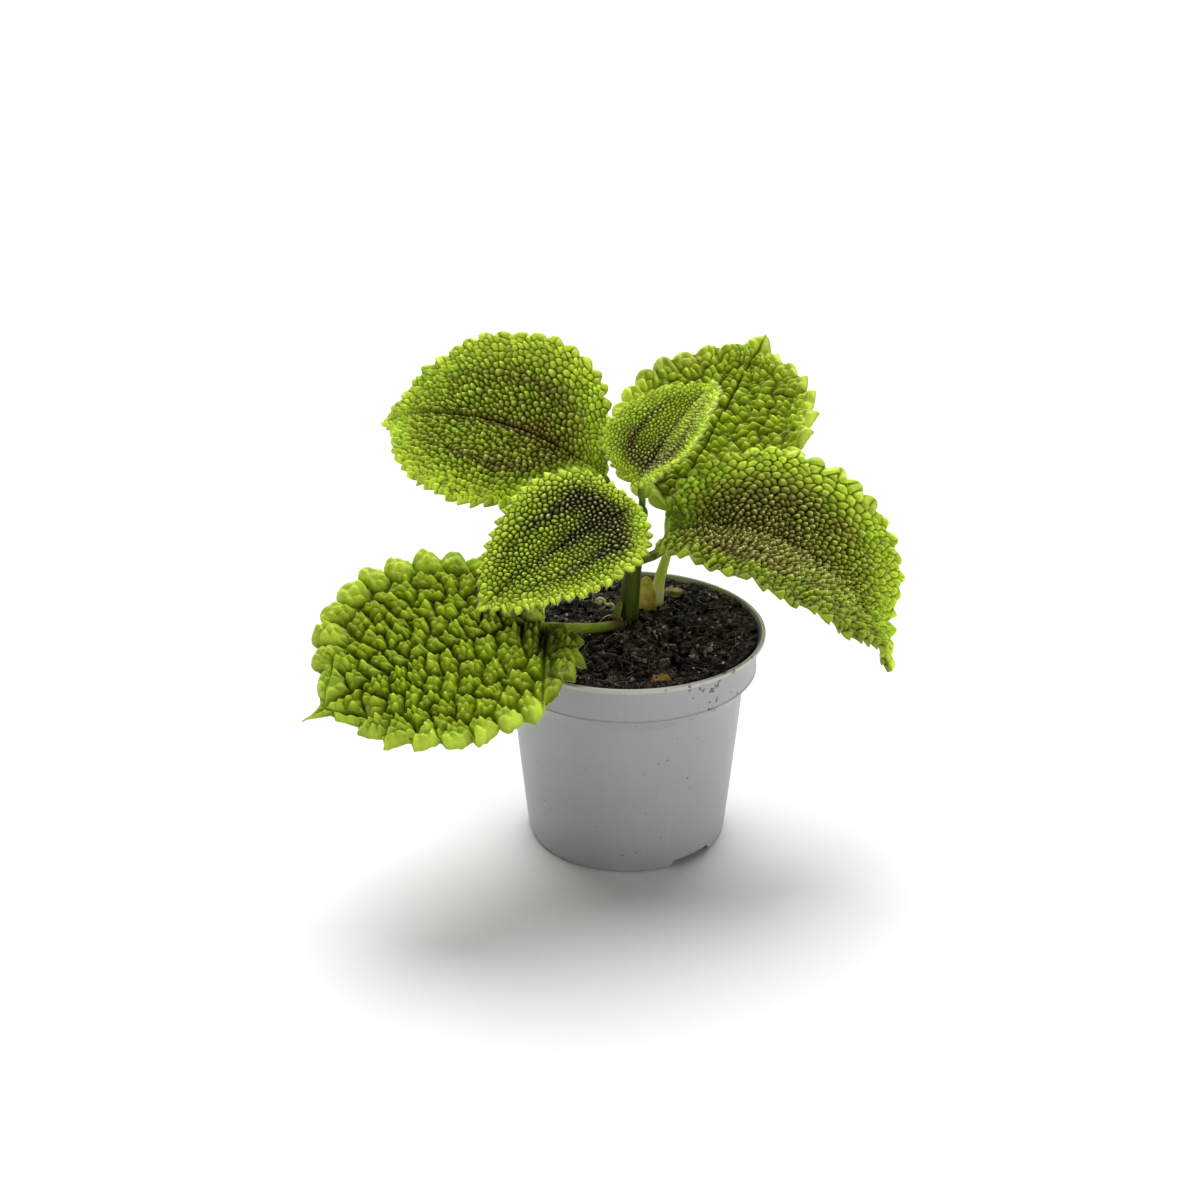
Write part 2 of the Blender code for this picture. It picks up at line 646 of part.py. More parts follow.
def make_chips():
    """Two bark chips that lie on flat seats in the soil."""
    for name, ((x, y), size, turn) in CHIPS.items():
        shape = bmesh.new()
        bmesh.ops.create_cube(shape, size=1)
        bmesh.ops.scale(shape, vec=size, verts=shape.verts)
        bmesh.ops.bevel(shape, geom=shape.edges[:], offset=size[2] * 0.3, segments=1, affect="EDGES")
        chip = object_from(name, shape, "bark")
        chip.location = (x * MM, y * MM, (SOIL_TOP + CLEARANCE + size[2] / 2) * MM)
        chip.rotation_euler.z = math.radians(turn)


def main():
    clear_scene()
    make_pot()
    make_soil()
    make_stem()
    make_leaves()
    make_stipule()
    make_chips()


main()
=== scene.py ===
"""A young potted pilea with quilted leaves, dressed for its picture.

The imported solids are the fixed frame. Every piece here replaces one of them, or stands on one, with the
real plant's detail: cushions between the veins, toothed edges, down, crumbly peat and a moulded pot.
Sizes in the classes are in millimetres, and meshes are written in metres.
"""

import logging
import math
from dataclasses import dataclass, field
from enum import Enum
from typing import Callable, Iterator, Sequence

import bpy
import numpy as np
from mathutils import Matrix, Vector, noise


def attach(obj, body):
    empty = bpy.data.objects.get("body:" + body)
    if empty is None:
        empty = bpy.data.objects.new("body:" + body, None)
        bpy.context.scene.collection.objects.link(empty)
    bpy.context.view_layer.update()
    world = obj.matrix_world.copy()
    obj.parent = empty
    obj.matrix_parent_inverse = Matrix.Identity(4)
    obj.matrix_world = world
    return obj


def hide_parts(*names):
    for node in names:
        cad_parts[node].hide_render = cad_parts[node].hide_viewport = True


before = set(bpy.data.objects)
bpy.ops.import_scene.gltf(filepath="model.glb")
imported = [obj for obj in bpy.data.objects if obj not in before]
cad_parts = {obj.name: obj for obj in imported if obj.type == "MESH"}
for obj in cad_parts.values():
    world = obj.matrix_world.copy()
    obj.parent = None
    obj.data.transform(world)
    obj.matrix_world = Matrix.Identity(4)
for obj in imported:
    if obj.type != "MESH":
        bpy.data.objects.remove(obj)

MM = 0.001
FAR = 1e6
BODY = "root"
LOG = logging.getLogger("pilea")
Array = np.ndarray
Dice = np.random.Generator
Piece = bpy.types.Object
Material = bpy.types.Material
Socket = bpy.types.NodeSocket
Colour = tuple[float, float, float]
Point = tuple[float, float, float]
Spot = tuple[float, float]
Section = tuple[Spot, ...]
Step = tuple[Callable, dict]

SELECT_ALL: Step = (bpy.ops.mesh.select_all, {"action": "SELECT"})
SELECT_NONE: Step = (bpy.ops.mesh.select_all, {"action": "DESELECT"})
SELECT_EDGES: Step = (bpy.ops.mesh.select_mode, {"type": "EDGE"})
SELECT_OPEN: Step = (bpy.ops.mesh.select_non_manifold, {"extend": False})
SELECT_RIM: Step = (bpy.ops.mesh.select_non_manifold,
                    {"extend": False, "use_wire": False, "use_multi_face": False,
                     "use_non_contiguous": False, "use_verts": False})
BRIDGE: Step = (bpy.ops.mesh.bridge_edge_loops, {})
FILL: Step = (bpy.ops.mesh.edge_face_add, {})
FACE_OUT: Step = (bpy.ops.mesh.normals_make_consistent, {"inside": False})
MERGE: Step = (bpy.ops.mesh.remove_doubles, {"threshold": 1e-6})
LIGHT_DEPTHS: Colour = (0.8, 1.0, 0.2)


class Half(Enum):
    """A half of a blade, as the sign of its distance from the midrib."""

    LEFT = 1
    RIGHT = -1


class Tooth(Enum):
    """The outline of a blade's teeth."""

    ROUNDED = "rounded"
    POINTED = "pointed"


class Workbench:
    """The editing steps that the pieces share."""

    @staticmethod
    def take(*pieces: Piece) -> None:
        """Select these pieces alone, the first as the active one."""
        bpy.ops.object.select_all(action="DESELECT")
        for piece in pieces:
            piece.select_set(True)
        bpy.context.view_layer.objects.active = pieces[0]

    @staticmethod
    def named(name: str) -> Piece:
        """Give the primitive that was just added its name."""
        piece = bpy.context.object
        piece.name = piece.data.name = name
        return piece

    @staticmethod
    def add(name: str, primitive: Callable, **settings: object) -> Piece:
        """Add a primitive with nothing else selected, and name it."""
        bpy.ops.object.select_all(action="DESELECT")
        primitive(**settings)
        return Workbench.named(name)

    @staticmethod
    def grid(name: str, rows: int, columns: int) -> tuple[Piece, Array]:
        """Add a flat grid, and give it with its points, which run from -1 to 1."""
        sheet = Workbench.add(name, bpy.ops.mesh.primitive_grid_add, x_subdivisions=rows,
                              y_subdivisions=columns, size=2)
        return sheet, Workbench.points(sheet) * MM

    @staticmethod
    def points(piece: Piece) -> Array:
        """The piece's vertices as rows in millimetres."""
        flat = np.empty(len(piece.data.vertices) * 3, np.float32)
        piece.data.vertices.foreach_get("co", flat)
        return flat.reshape(-1, 3).astype(float) / MM

    @staticmethod
    def move(piece: Piece, points: Array) -> None:
        """Put the piece's vertices at these rows in millimetres."""
        piece.data.vertices.foreach_set("co", (np.asarray(points) * MM).astype(np.float32).ravel())
        piece.data.update()

    @staticmethod
    def paint(piece: Piece, **values: Array) -> None:
        """Store one number a vertex under each name, for the materials to read."""
        for name, numbers in values.items():
            spread = np.broadcast_to(np.asarray(numbers, np.float32), len(piece.data.vertices))
            made = piece.data.attributes.get(name) or piece.data.attributes.new(name, "FLOAT", "POINT")
            made.data.foreach_set("value", np.ascontiguousarray(spread))

    @staticmethod
    def edit(piece: Piece, *steps: Step) -> None:
        """Run edit-mode operators on all of a piece.

        Args:
            piece: the piece to change.
            steps: (operator, settings) pairs, in order.
        """
        Workbench.take(piece)
        bpy.ops.object.mode_set(mode="EDIT")
        bpy.ops.mesh.select_mode(type="VERT")
        bpy.ops.mesh.select_all(action="SELECT")
        for operator, settings in steps:
            operator(**settings)
        bpy.ops.object.mode_set(mode="OBJECT")

    @staticmethod
    def rings(section: Sequence[tuple[float, float]]) -> list[Step]:
        """Steps that extrude the selected loop from ring to ring of a section of (radius, height)."""
        steps: list[Step] = []
        for (before, low), (after, high) in zip(section, section[1:]):
            rise = {"TRANSFORM_OT_translate": {"value": (0, 0, (high - low) * MM)}}
            steps.append((bpy.ops.mesh.extrude_region_move, rise))
            steps.append((bpy.ops.transform.resize, {"value": (after / before, after / before, 1)}))
        return steps

    @staticmethod
    def join(name: str, pieces: Sequence[Piece]) -> Piece:
        """Join pieces into one mesh of that name."""
        Workbench.take(*pieces)
        if len(pieces) > 1:
            bpy.ops.object.join()
        return Workbench.named(name)

    @staticmethod
    def modify(piece: Piece, kind: str, **settings: object) -> None:
        """Add a modifier with these settings and apply it."""
        Workbench.take(piece)
        step = piece.modifiers.new(kind.title(), kind)
        for key, value in settings.items():
            setattr(step, key, value)
        bpy.ops.object.modifier_apply(modifier=step.name)

    @staticmethod
    def rod(name: str, path: Sequence[Point], radii: Sequence[float], sides: int = 4,
            steps: int = 6) -> Piece:
        """Draw a round rod as a bevelled curve and turn it into a mesh.

        Args:
            name: the piece's name.
            path: points on its axis, in millimetres.
            radii: its radius at each point.
            sides: bevel resolution, four more than half the number of sides.
            steps: rings between two points.

        Returns:
            The closed mesh, with an attribute "along" that runs from 0 to 1.
        """
        rod = Workbench.add(name, bpy.ops.curve.primitive_bezier_curve_add, radius=1.0, location=(0, 0, 0))
        spline = rod.data.splines[0]
        spline.bezier_points.add(len(path) - len(spline.bezier_points))
        for knot, place, radius in zip(spline.bezier_points, path, radii):
            knot.co = Vector(place) * MM
            knot.handle_left_type = knot.handle_right_type = "AUTO"
            knot.radius = radius
        rod.data.bevel_depth = MM
        rod.data.bevel_resolution = sides
        rod.data.resolution_u = steps
        rod.data.use_fill_caps = True
        Workbench.take(rod)
        bpy.ops.object.convert(target="MESH")
        rod = bpy.context.object
        Workbench.edit(rod, MERGE, FACE_OUT)
        line = Workbench.dense(path, 12)
        nearest = Workbench.apart(Workbench.points(rod), line).argmin(1)
        Workbench.paint(rod, along=nearest / (len(line) - 1))
        return rod

    @staticmethod
    def parts(count: int, size: int = 5000) -> Iterator[slice]:
        """Cut a long table into parts whose distances fit in memory."""
        for start in range(0, count, size):
            yield slice(start, start + size)

    @staticmethod
    def apart(rows: Array, others: Array) -> Array:
        """Squared distances from each row to each of the others."""
        return ((rows[:, None, :] - others[None]) ** 2).sum(-1)

    @staticmethod
    def gaps(rows: Array, others: Array) -> Array:
        """Distance from each row to the nearest of the others."""
        nearest = [Workbench.apart(rows[part], others).min(1) for part in Workbench.parts(len(rows))]
        return np.sqrt(np.concatenate(nearest))

    @staticmethod
    def read(marks: Array, knots: Array, rows: Array) -> Array:
        """Rows of a table at these marks, read between the knots that its rows stand for."""
        return np.stack([np.interp(marks, knots, column) for column in rows.T], -1)

    @staticmethod
    def on_disc(count: int, radius: float, dice: Dice) -> Array:
        """Random places, spread evenly over a disc."""
        turn, out = dice.uniform(0, 2 * math.pi, count), np.sqrt(dice.uniform(0, 1, count))
        return np.stack([np.cos(turn), np.sin(turn)], -1) * out[:, None] * radius

    @staticmethod
    def turned(x: Array, y: Array, degrees: float) -> tuple[Array, Array]:
        """Turn flat places about the origin."""
        turn = math.radians(degrees)
        return x * math.cos(turn) - y * math.sin(turn), x * math.sin(turn) + y * math.cos(turn)

    @staticmethod
    def dense(path: Sequence[Point], steps: int) -> Array:
        """Points set closely along a polyline."""
        knots = np.asarray(path, float)
        marks = np.linspace(0, len(knots) - 1, (len(knots) - 1) * steps + 1)
        return Workbench.read(marks, np.arange(len(knots)), knots)

    @staticmethod
    def copies(name: str, model: Piece, places: Array, turns: Array, sizes: Array,
               tints: Array) -> Piece:
        """Repeat a small model in one mesh.

        Args:
            name: the new piece's name.
            model: the mesh to repeat, of about unit size; it is removed.
            places: where each copy goes, in millimetres.
            turns: a 3 x 3 matrix for each copy.
            sizes: three scales for each copy, in millimetres.
            tints: one number for each copy, stored as "tint".

        Returns:
            The joined piece.
        """
        shape = Workbench.points(model) * MM
        faces = [tuple(face.vertices) for face in model.data.polygons]
        turned = np.einsum("nij,nkj->nki", turns, shape[None] * sizes[:, None, :])
        rows = (turned + places[:, None, :]).reshape(-1, 3)
        count = len(shape)
        starts = range(0, len(rows), count)
        mesh = bpy.data.meshes.new(name)
        mesh.from_pydata((rows * MM).tolist(), [],
                         [tuple(start + corner for corner in face) for start in starts for face in faces])
        made = bpy.data.objects.new(name, mesh)
        bpy.context.scene.collection.objects.link(made)
        bpy.data.objects.remove(model, do_unlink=True)
        Workbench.paint(made, tint=np.repeat(tints, count), along=np.tile(shape[:, 2], len(places)))
        return made

    @staticmethod
    def hand_in(piece: Piece, slot: str, finish: Material, *nodes: str,
                sharp: float = 50.0) -> Piece:
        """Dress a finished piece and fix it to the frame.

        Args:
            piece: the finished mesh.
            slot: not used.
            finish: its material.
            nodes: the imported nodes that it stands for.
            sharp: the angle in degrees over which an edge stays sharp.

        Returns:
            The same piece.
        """
        Workbench.take(piece)
        bpy.ops.object.shade_smooth_by_angle(angle=math.radians(sharp))
        piece.data.materials.clear()
        piece.data.materials.append(finish)
        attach(piece, BODY)
        if nodes:
            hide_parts(*nodes)
        LOG.info("%s: %d faces", piece.name, len(piece.data.polygons))
        return piece


class Recipe:
    """A node material that is written down step by step."""

    def __init__(self, name: str) -> None:
        """Start a Principled material of that name."""
        self.material = bpy.data.materials.new(name)
        self.material.use_nodes = True
        self.tree = self.material.node_tree
        self.shader = self.tree.nodes["Principled BSDF"]
        self.places = self.tree.nodes.new("ShaderNodeTexCoord").outputs["Object"]

    def feed(self, socket: Socket, value: object) -> None:
        """Link a socket to another, or set its value."""
        if isinstance(value, Socket):
            self.tree.links.new(value, socket)
        elif isinstance(value, tuple) and len(value) == 3 and socket.type == "RGBA":
            socket.default_value = (*value, 1.0)
        else:
            socket.default_value = value

    def attribute(self, name: str) -> Socket:
        """A number that is stored on the mesh."""
        node = self.tree.nodes.new("ShaderNodeAttribute")
        node.attribute_name = name
        return node.outputs["Fac"]

    def stretched(self, scale: Point) -> Socket:
        """Object coordinates scaled along each axis."""
        node = self.tree.nodes.new("ShaderNodeMapping")
        self.tree.links.new(self.places, node.inputs["Vector"])
        node.inputs["Scale"].default_value = scale
        return node.outputs["Vector"]

    def noise(self, scale: float, detail: float = 3.0, where: object = None) -> Socket:
        """Cloudy noise, whose scale is in waves a metre."""
        node = self.tree.nodes.new("ShaderNodeTexNoise")
        self.tree.links.new(where or self.places, node.inputs["Vector"])
        node.inputs["Scale"].default_value = scale
        node.inputs["Detail"].default_value = detail
        return node.outputs["Fac"]

    def cells(self, scale: float, where: object = None) -> Socket:
        """Distance to scattered points, whose scale is in points a metre."""
        node = self.tree.nodes.new("ShaderNodeTexVoronoi")
        self.tree.links.new(where or self.places, node.inputs["Vector"])
        node.inputs["Scale"].default_value = scale
        return node.outputs["Distance"]

    def sums(self, operation: str, first: object, second: object = 0.0,
             clamp: bool = False) -> Socket:
        """One step of arithmetic."""
        node = self.tree.nodes.new("ShaderNodeMath")
        node.operation = operation
        node.use_clamp = clamp
        self.feed(node.inputs[0], first)
        self.feed(node.inputs[1], second)
        return node.outputs[0]

    def between(self, value: object, low: float, high: float, start: float = 0.0,
                end: float = 1.0) -> Socket:
        """Stretch the range from low to high over the one from start to end, and clamp it."""
        node = self.tree.nodes.new("ShaderNodeMapRange")
        for key, number in (("From Min", low), ("From Max", high), ("To Min", start), ("To Max", end)):
            node.inputs[key].default_value = number
        self.feed(node.inputs["Value"], value)
        return node.outputs["Result"]

    @staticmethod
    def set_stops(band: bpy.types.ColorRamp, stops: Sequence[tuple[float, Colour]]) -> None:
        """Write a ramp's colours."""
        while len(band.elements) < len(stops):
            band.elements.new(0.5)
        for element, (place, colour) in zip(band.elements, stops):
            element.position = place
            element.color = (*colour, 1.0)

    def ramp(self, value: object, *stops: tuple[float, Colour]) -> Socket:
        """A colour that changes with a number."""
        node = self.tree.nodes.new("ShaderNodeValToRGB")
        self.set_stops(node.color_ramp, stops)
        self.feed(node.inputs["Fac"], value)
        return node.outputs["Color"]

    def mix(self, share: object, first: object, second: object) -> Socket:
        """Mix two colours."""
        node = self.tree.nodes.new("ShaderNodeMix")
        node.data_type = "RGBA"
        self.feed(node.inputs[0], share)
        self.feed(node.inputs[6], first)
        self.feed(node.inputs[7], second)
        return node.outputs[2]

    def relief(self, height: object, depth: float, strength: float = 1.0) -> None:
        """Rough the surface by a height, whose full depth is in millimetres."""
        node = self.tree.nodes.new("ShaderNodeBump")
        node.inputs["Distance"].default_value = depth * MM
        node.inputs["Strength"].default_value = strength
        self.feed(node.inputs["Height"], height)
        self.tree.links.new(node.outputs["Normal"], self.shader.inputs["Normal"])

    def glow(self, weight: float, depth: float = 0.8, depths: Colour | None = None) -> None:
        """Let light pass below the surface, to a depth in millimetres for each colour."""
        self.shader.inputs["Subsurface Weight"].default_value = weight
        self.shader.inputs["Subsurface Scale"].default_value = depth * MM
        if depths:
            self.shader.inputs["Subsurface Radius"].default_value = depths

    def finish(self, colour: object, roughness: object, shine: float = 0.5) -> Material:
        """Set the surface's colour, roughness and mirror strength, and give the material."""
        self.feed(self.shader.inputs["Base Color"], colour)
        self.feed(self.shader.inputs["Roughness"], roughness)
        self.shader.inputs["Specular IOR Level"].default_value = shine
        return self.material


@dataclass(frozen=True)
class LeafFinish:
    """Quilted leaf: lime cushions over dark valleys, browned where the young blade is dark. The dark valley
    colours are partly painted shade and the pale crest colours are painted highlights.
    """

    name: str
    # Valley stops are darkened as painted shade and crest stops are paled as painted highlights; flank,
    # crown and margin are nearer the leaf's own colours.
    valley: Colour = (0.044, 0.070, 0.0008)
    flank: Colour = (0.215, 0.295, 0.004)
    crown: Colour = (0.450, 0.580, 0.028)
    crest: Colour = (0.680, 0.800, 0.290)
    dark_valley: Colour = (0.022, 0.013, 0.001)
    dark_flank: Colour = (0.165, 0.148, 0.011)
    dark_crown: Colour = (0.300, 0.315, 0.060)
    dark_crest: Colour = (0.680, 0.710, 0.400)
    margin: Colour = (0.610, 0.770, 0.060)
    under: Colour = (0.250, 0.350, 0.060)
    under_vein: Colour = (0.420, 0.490, 0.180)
    green_stops: tuple[float, ...] = (0.10, 0.42, 0.76, 0.94)
    brown_stops: tuple[float, ...] = (0.20, 0.56, 0.76, 0.92)
    glow: float = 0.08

    def material(self) -> Material:
        """Read the blade's stored numbers and colour it by them."""
        recipe = Recipe(self.name)
        # The stored cushion number is painted light and shade: high on lit crests, low in shaded valleys.
        cushion = recipe.attribute("cushion")
        speckle = recipe.between(recipe.noise(2600.0, 2.0), 0.3, 0.7, 0.9, 1.1)
        upper = self.toned(recipe, self.upper_face(recipe, cushion), speckle)
        colour = recipe.mix(recipe.attribute("under"), upper, self.lower_face(recipe, speckle))
        recipe.relief(recipe.noise(3200.0, 2.0), 0.05, 0.35)
        recipe.glow(self.glow, depths=LIGHT_DEPTHS)
        return recipe.finish(colour, recipe.between(cushion, 0.1, 0.9, 0.75, 0.38), shine=0.15)

    def upper_face(self, recipe: Recipe, cushion: object) -> object:
        """Mix green and brown cushions, and pale margins."""
        cloudy = recipe.between(recipe.noise(420.0), 0.3, 0.7, -0.18, 0.18)
        browning = recipe.between(recipe.sums("ADD", recipe.attribute("bronze"), cloudy), 0.12, 0.92)
        greens = (self.valley, self.flank, self.crown, self.crest)
        browns = (self.dark_valley, self.dark_flank, self.dark_crown, self.dark_crest)
        green = recipe.ramp(cushion, *zip(self.green_stops, greens))
        brown = recipe.ramp(cushion, *zip(self.brown_stops, browns))
        raised = recipe.between(cushion, 0.05, 0.45, 0.25, 1.0)
        paler = recipe.sums("MULTIPLY", recipe.attribute("rim"), raised)
        return recipe.mix(paler, recipe.mix(browning, green, brown), self.margin)

    @staticmethod
    def toned(recipe: Recipe, colour: object, speckle: object) -> object:
        """Make each cushion a little lighter or darker, and the green drift over the blade; the tint also
        carries painted shade on the folded base lobe and the darkened right margin.
        """
        tint = recipe.between(recipe.attribute("tint"), -1.0, 1.0, 0.30, 1.20)
        toned = recipe.tree.nodes.new("ShaderNodeHueSaturation")
        recipe.feed(toned.inputs["Value"], recipe.sums("MULTIPLY", tint, speckle))
        recipe.feed(toned.inputs["Hue"], recipe.between(recipe.noise(160.0, 1.0), 0.3, 0.7, 0.495, 0.511))
        recipe.feed(toned.inputs["Color"], colour)
        return toned.outputs["Color"]

    def lower_face(self, recipe: Recipe, speckle: object) -> object:
        """Pale green with lighter ribs and margin."""
        below = recipe.mix(recipe.between(speckle, 0.9, 1.1, 0.0, 0.25), self.under, self.under_vein)
        below = recipe.mix(recipe.attribute("bronze"), below, self.under_vein)
        paler = recipe.between(recipe.attribute("rim"), 0.3, 1.0, 0.0, 0.45)
        return recipe.mix(paler, below, self.margin)


@dataclass(frozen=True)
class StalkFinish:
    """Juicy green stalk, paler at its foot, with fine lengthwise streaks."""

    name: str
    green: Colour = (0.085, 0.135, 0.010)
    light: Colour = (0.200, 0.270, 0.030)
    foot: Colour = (0.085, 0.135, 0.010)
    foot_reach: float = 0.02
    tip: Colour = (0.200, 0.270, 0.030)
    grain: Point = (1.0, 1.0, 0.06)

    def material(self) -> Material:
        """Streaks along the stalk and a foot of its own colour."""
        recipe = Recipe(self.name)
        streaks = recipe.noise(700.0, 3.0, recipe.stretched(self.grain))
        colour = recipe.mix(recipe.between(streaks, 0.35, 0.65), self.green, self.light)
        along = recipe.attribute("along")
        colour = recipe.mix(recipe.between(along, 0.55, 1.0, 0.0, 0.7), colour, self.tip)
        colour = recipe.mix(recipe.between(along, self.foot_reach, self.foot_reach * 2.2, 1.0, 0.0),
                            colour, self.foot)
        ridge = recipe.attribute("ridge")
        colour = recipe.mix(recipe.between(ridge, 0.0, 1.0, 0.0, 0.55), colour, self.light)
        recipe.relief(streaks, 0.08, 0.4)
        recipe.glow(0.15, 1.0, LIGHT_DEPTHS)
        return recipe.finish(colour, 0.45, shine=0.14)


@dataclass(frozen=True)
class PlainGrowth:
    """A small dry or pale piece of one mottled colour."""

    name: str
    light: Colour
    dark: Colour
    roughness: float = 0.6
    scale: float = 1500.0
    glow: float = 0.0

    def material(self) -> Material:
        """Mottle two colours, with each copy a little lighter or darker."""
        recipe = Recipe(self.name)
        cloudy = recipe.noise(self.scale, 4.0)
        share = recipe.sums("ADD", recipe.between(cloudy, 0.35, 0.65, 0.0, 0.6),
                            recipe.between(recipe.attribute("tint"), 0.0, 1.0, -0.3, 0.4), clamp=True)
        recipe.relief(cloudy, 0.12, 0.6)
        recipe.glow(self.glow)
        return recipe.finish(recipe.mix(share, self.light, self.dark), self.roughness, shine=0.2)


@dataclass(frozen=True)
class PeatFinish:
    """Moist black peat with brown fibres and a few pale grains, its hollows painted black as shade."""

    name: str = "moist_peat"
    black: Colour = (0.0016, 0.0011, 0.0007)
    brown: Colour = (0.095, 0.070, 0.050)
    fibre: Colour = (0.09, 0.055, 0.03)
    grain: Colour = (0.50, 0.46, 0.38)

    def material(self) -> Material:
        """Hollows painted black as shade, browner crumbs, short fibres and bright specks."""
        recipe = Recipe(self.name)
        clods = recipe.attribute("crumb")
        cloudy = recipe.noise(900.0, 5.0)
        # Painted shade: low places of the relief take the black, raised crumbs the brown.
        stands_out = recipe.between(clods, 0.38, 0.95)
        share = recipe.sums("MULTIPLY", stands_out, recipe.between(cloudy, 0.49, 0.64))
        colour = recipe.mix(share, self.black, self.brown)
        fibres = recipe.noise(1500.0, 2.0, recipe.stretched((1.0, 0.16, 1.0)))
        colour = recipe.mix(recipe.between(fibres, 0.66, 0.74, 0.0, 0.55), colour, self.fibre)
        specks = recipe.between(recipe.cells(1100.0), 0.07, 0.13, 0.9, 0.0)
        colour = recipe.mix(specks, colour, self.grain)
        recipe.relief(recipe.noise(2400.0, 5.0), 0.4, 0.9)
        return recipe.finish(colour, recipe.between(cloudy, 0.3, 0.7, 0.98, 0.62), shine=0.2)


@dataclass(frozen=True)
class PotFinish:
    """Satin grey polypropylene, scuffed a little, with soil specks near the rim."""

    name: str = "grey_polypropylene"
    grey: Colour = (0.300, 0.318, 0.314)
    hazy: Colour = (0.36, 0.375, 0.365)
    warm_lip_and_light: Colour = (0.460, 0.450, 0.410)
    scuff: Colour = (0.5, 0.51, 0.5)
    shaded: Colour = (0.16, 0.17, 0.175)
    dirt: Colour = (0.060, 0.040, 0.022)
    rim_height: float = 47.8
    collar_height: float = 38.0

    def material(self) -> Material:
        """Even grey, with a warmer, lighter rim that is partly painted light, faint scuffs, a moulding
        haze, painted shade towards the foot, and dirt.
        """
        recipe = Recipe(self.name)
        split = recipe.tree.nodes.new("ShaderNodeSeparateXYZ")
        recipe.feed(split.inputs[0], recipe.places)
        height = split.outputs["Z"]
        haze = recipe.noise(60.0, 2.0)
        colour = recipe.mix(recipe.between(haze, 0.3, 0.7, 0.0, 0.10), self.grey, self.hazy)
        rim = recipe.between(height, self.rim_height * MM, (self.rim_height + 0.6) * MM)
        # Partly painted light: the lip above rim_height is painted lighter and warmer than the body.
        colour = recipe.mix(rim, colour, self.warm_lip_and_light)
        streaks = recipe.noise(260.0, 4.0, recipe.stretched((1.0, 1.0, 0.12)))
        colour = recipe.mix(recipe.between(streaks, 0.60, 0.72, 0.0, 0.10), colour, self.scuff)
        # Painted shade: darker towards the foot.
        colour = recipe.mix(recipe.between(height, 0.0, 9 * MM, 0.16, 0.0), colour, self.shaded)
        colour = self.dirty(recipe, colour, split, height)
        recipe.relief(recipe.noise(1900.0, 2.0), 0.02, 0.3)
        return recipe.finish(colour, recipe.between(haze, 0.3, 0.7, 0.38, 0.48))

    def dirty(self, recipe: Recipe, colour: object, split: bpy.types.Node, height: object) -> object:
        """Add soil specks: most on the collar's right, a few anywhere."""
        collar = recipe.between(height, (self.collar_height - 0.3) * MM, self.collar_height * MM)
        right = recipe.between(split.outputs["X"], 8 * MM, 17 * MM)
        front = recipe.between(split.outputs["Y"], -4 * MM, -14 * MM)
        clump = recipe.between(recipe.noise(150.0, 2.0), 0.40, 0.60)
        reach = collar
        for share in (right, front, clump):
            reach = recipe.sums("MULTIPLY", reach, share)
        ragged = recipe.between(recipe.noise(1700.0, 3.0), 0.3, 0.7, -0.2, 0.2)
        dots = recipe.sums("ADD", recipe.cells(520.0), ragged)
        many = recipe.sums("LESS_THAN", dots, recipe.sums("MULTIPLY", reach, 0.36))
        few = recipe.between(recipe.cells(90.0), 0.016, 0.026, 0.75, 0.0)
        few = recipe.sums("MULTIPLY", few, recipe.between(recipe.noise(45.0, 1.0), 0.52, 0.58))
        colour = recipe.mix(recipe.sums("MULTIPLY", many, 0.8), colour, self.dirt)
        return recipe.mix(few, colour, self.dirt)


@dataclass(frozen=True)
class Bend:
    """How a flat blade is placed and bent, with the same numbers as its solid."""

    base: Point
    azimuth: float
    pitch: float
    droop: float
    roll: float
    length: float
    width: float
    fold: float
    curl_left: float
    curl_right: float
    ovate: float
    lobe: float
    drip: float


@dataclass(frozen=True)
class Quilt:
    """The cushions between the veins, and the groups that those of an old leaf stand in."""

    spacing: float
    height: float
    point: float = 0.3
    reach: float = 0.92
    stretch: float = 1.0
    coarser: float = 1.0
    lowest: float = 0.6
    group_spacing: float = 0.0
    group_share: float = 0.0
    plain: tuple[float, float] = (1.5, 1.5)
    furrow: float = 0.5
    lean: tuple[float, float] = (0.15, 0.0)
    fold: float = 0.0
    lime: tuple[float, float] = (0.62, 0.62)
    # Painted shade: how strongly the right half's margin is darkened.
    painted_shade_margin: float = 0.0

    @property
    def hollow(self) -> float:
        """How much of the relief shows on the lower face."""
        return 0.55 if self.group_share else 0.3


@dataclass(frozen=True)
class Bronze:
    """Where a blade turns brown: at its base, along its veins and over its middle."""

    base: float
    reach: float
    veins: float
    vein_width: float
    middle: float
    margin: float


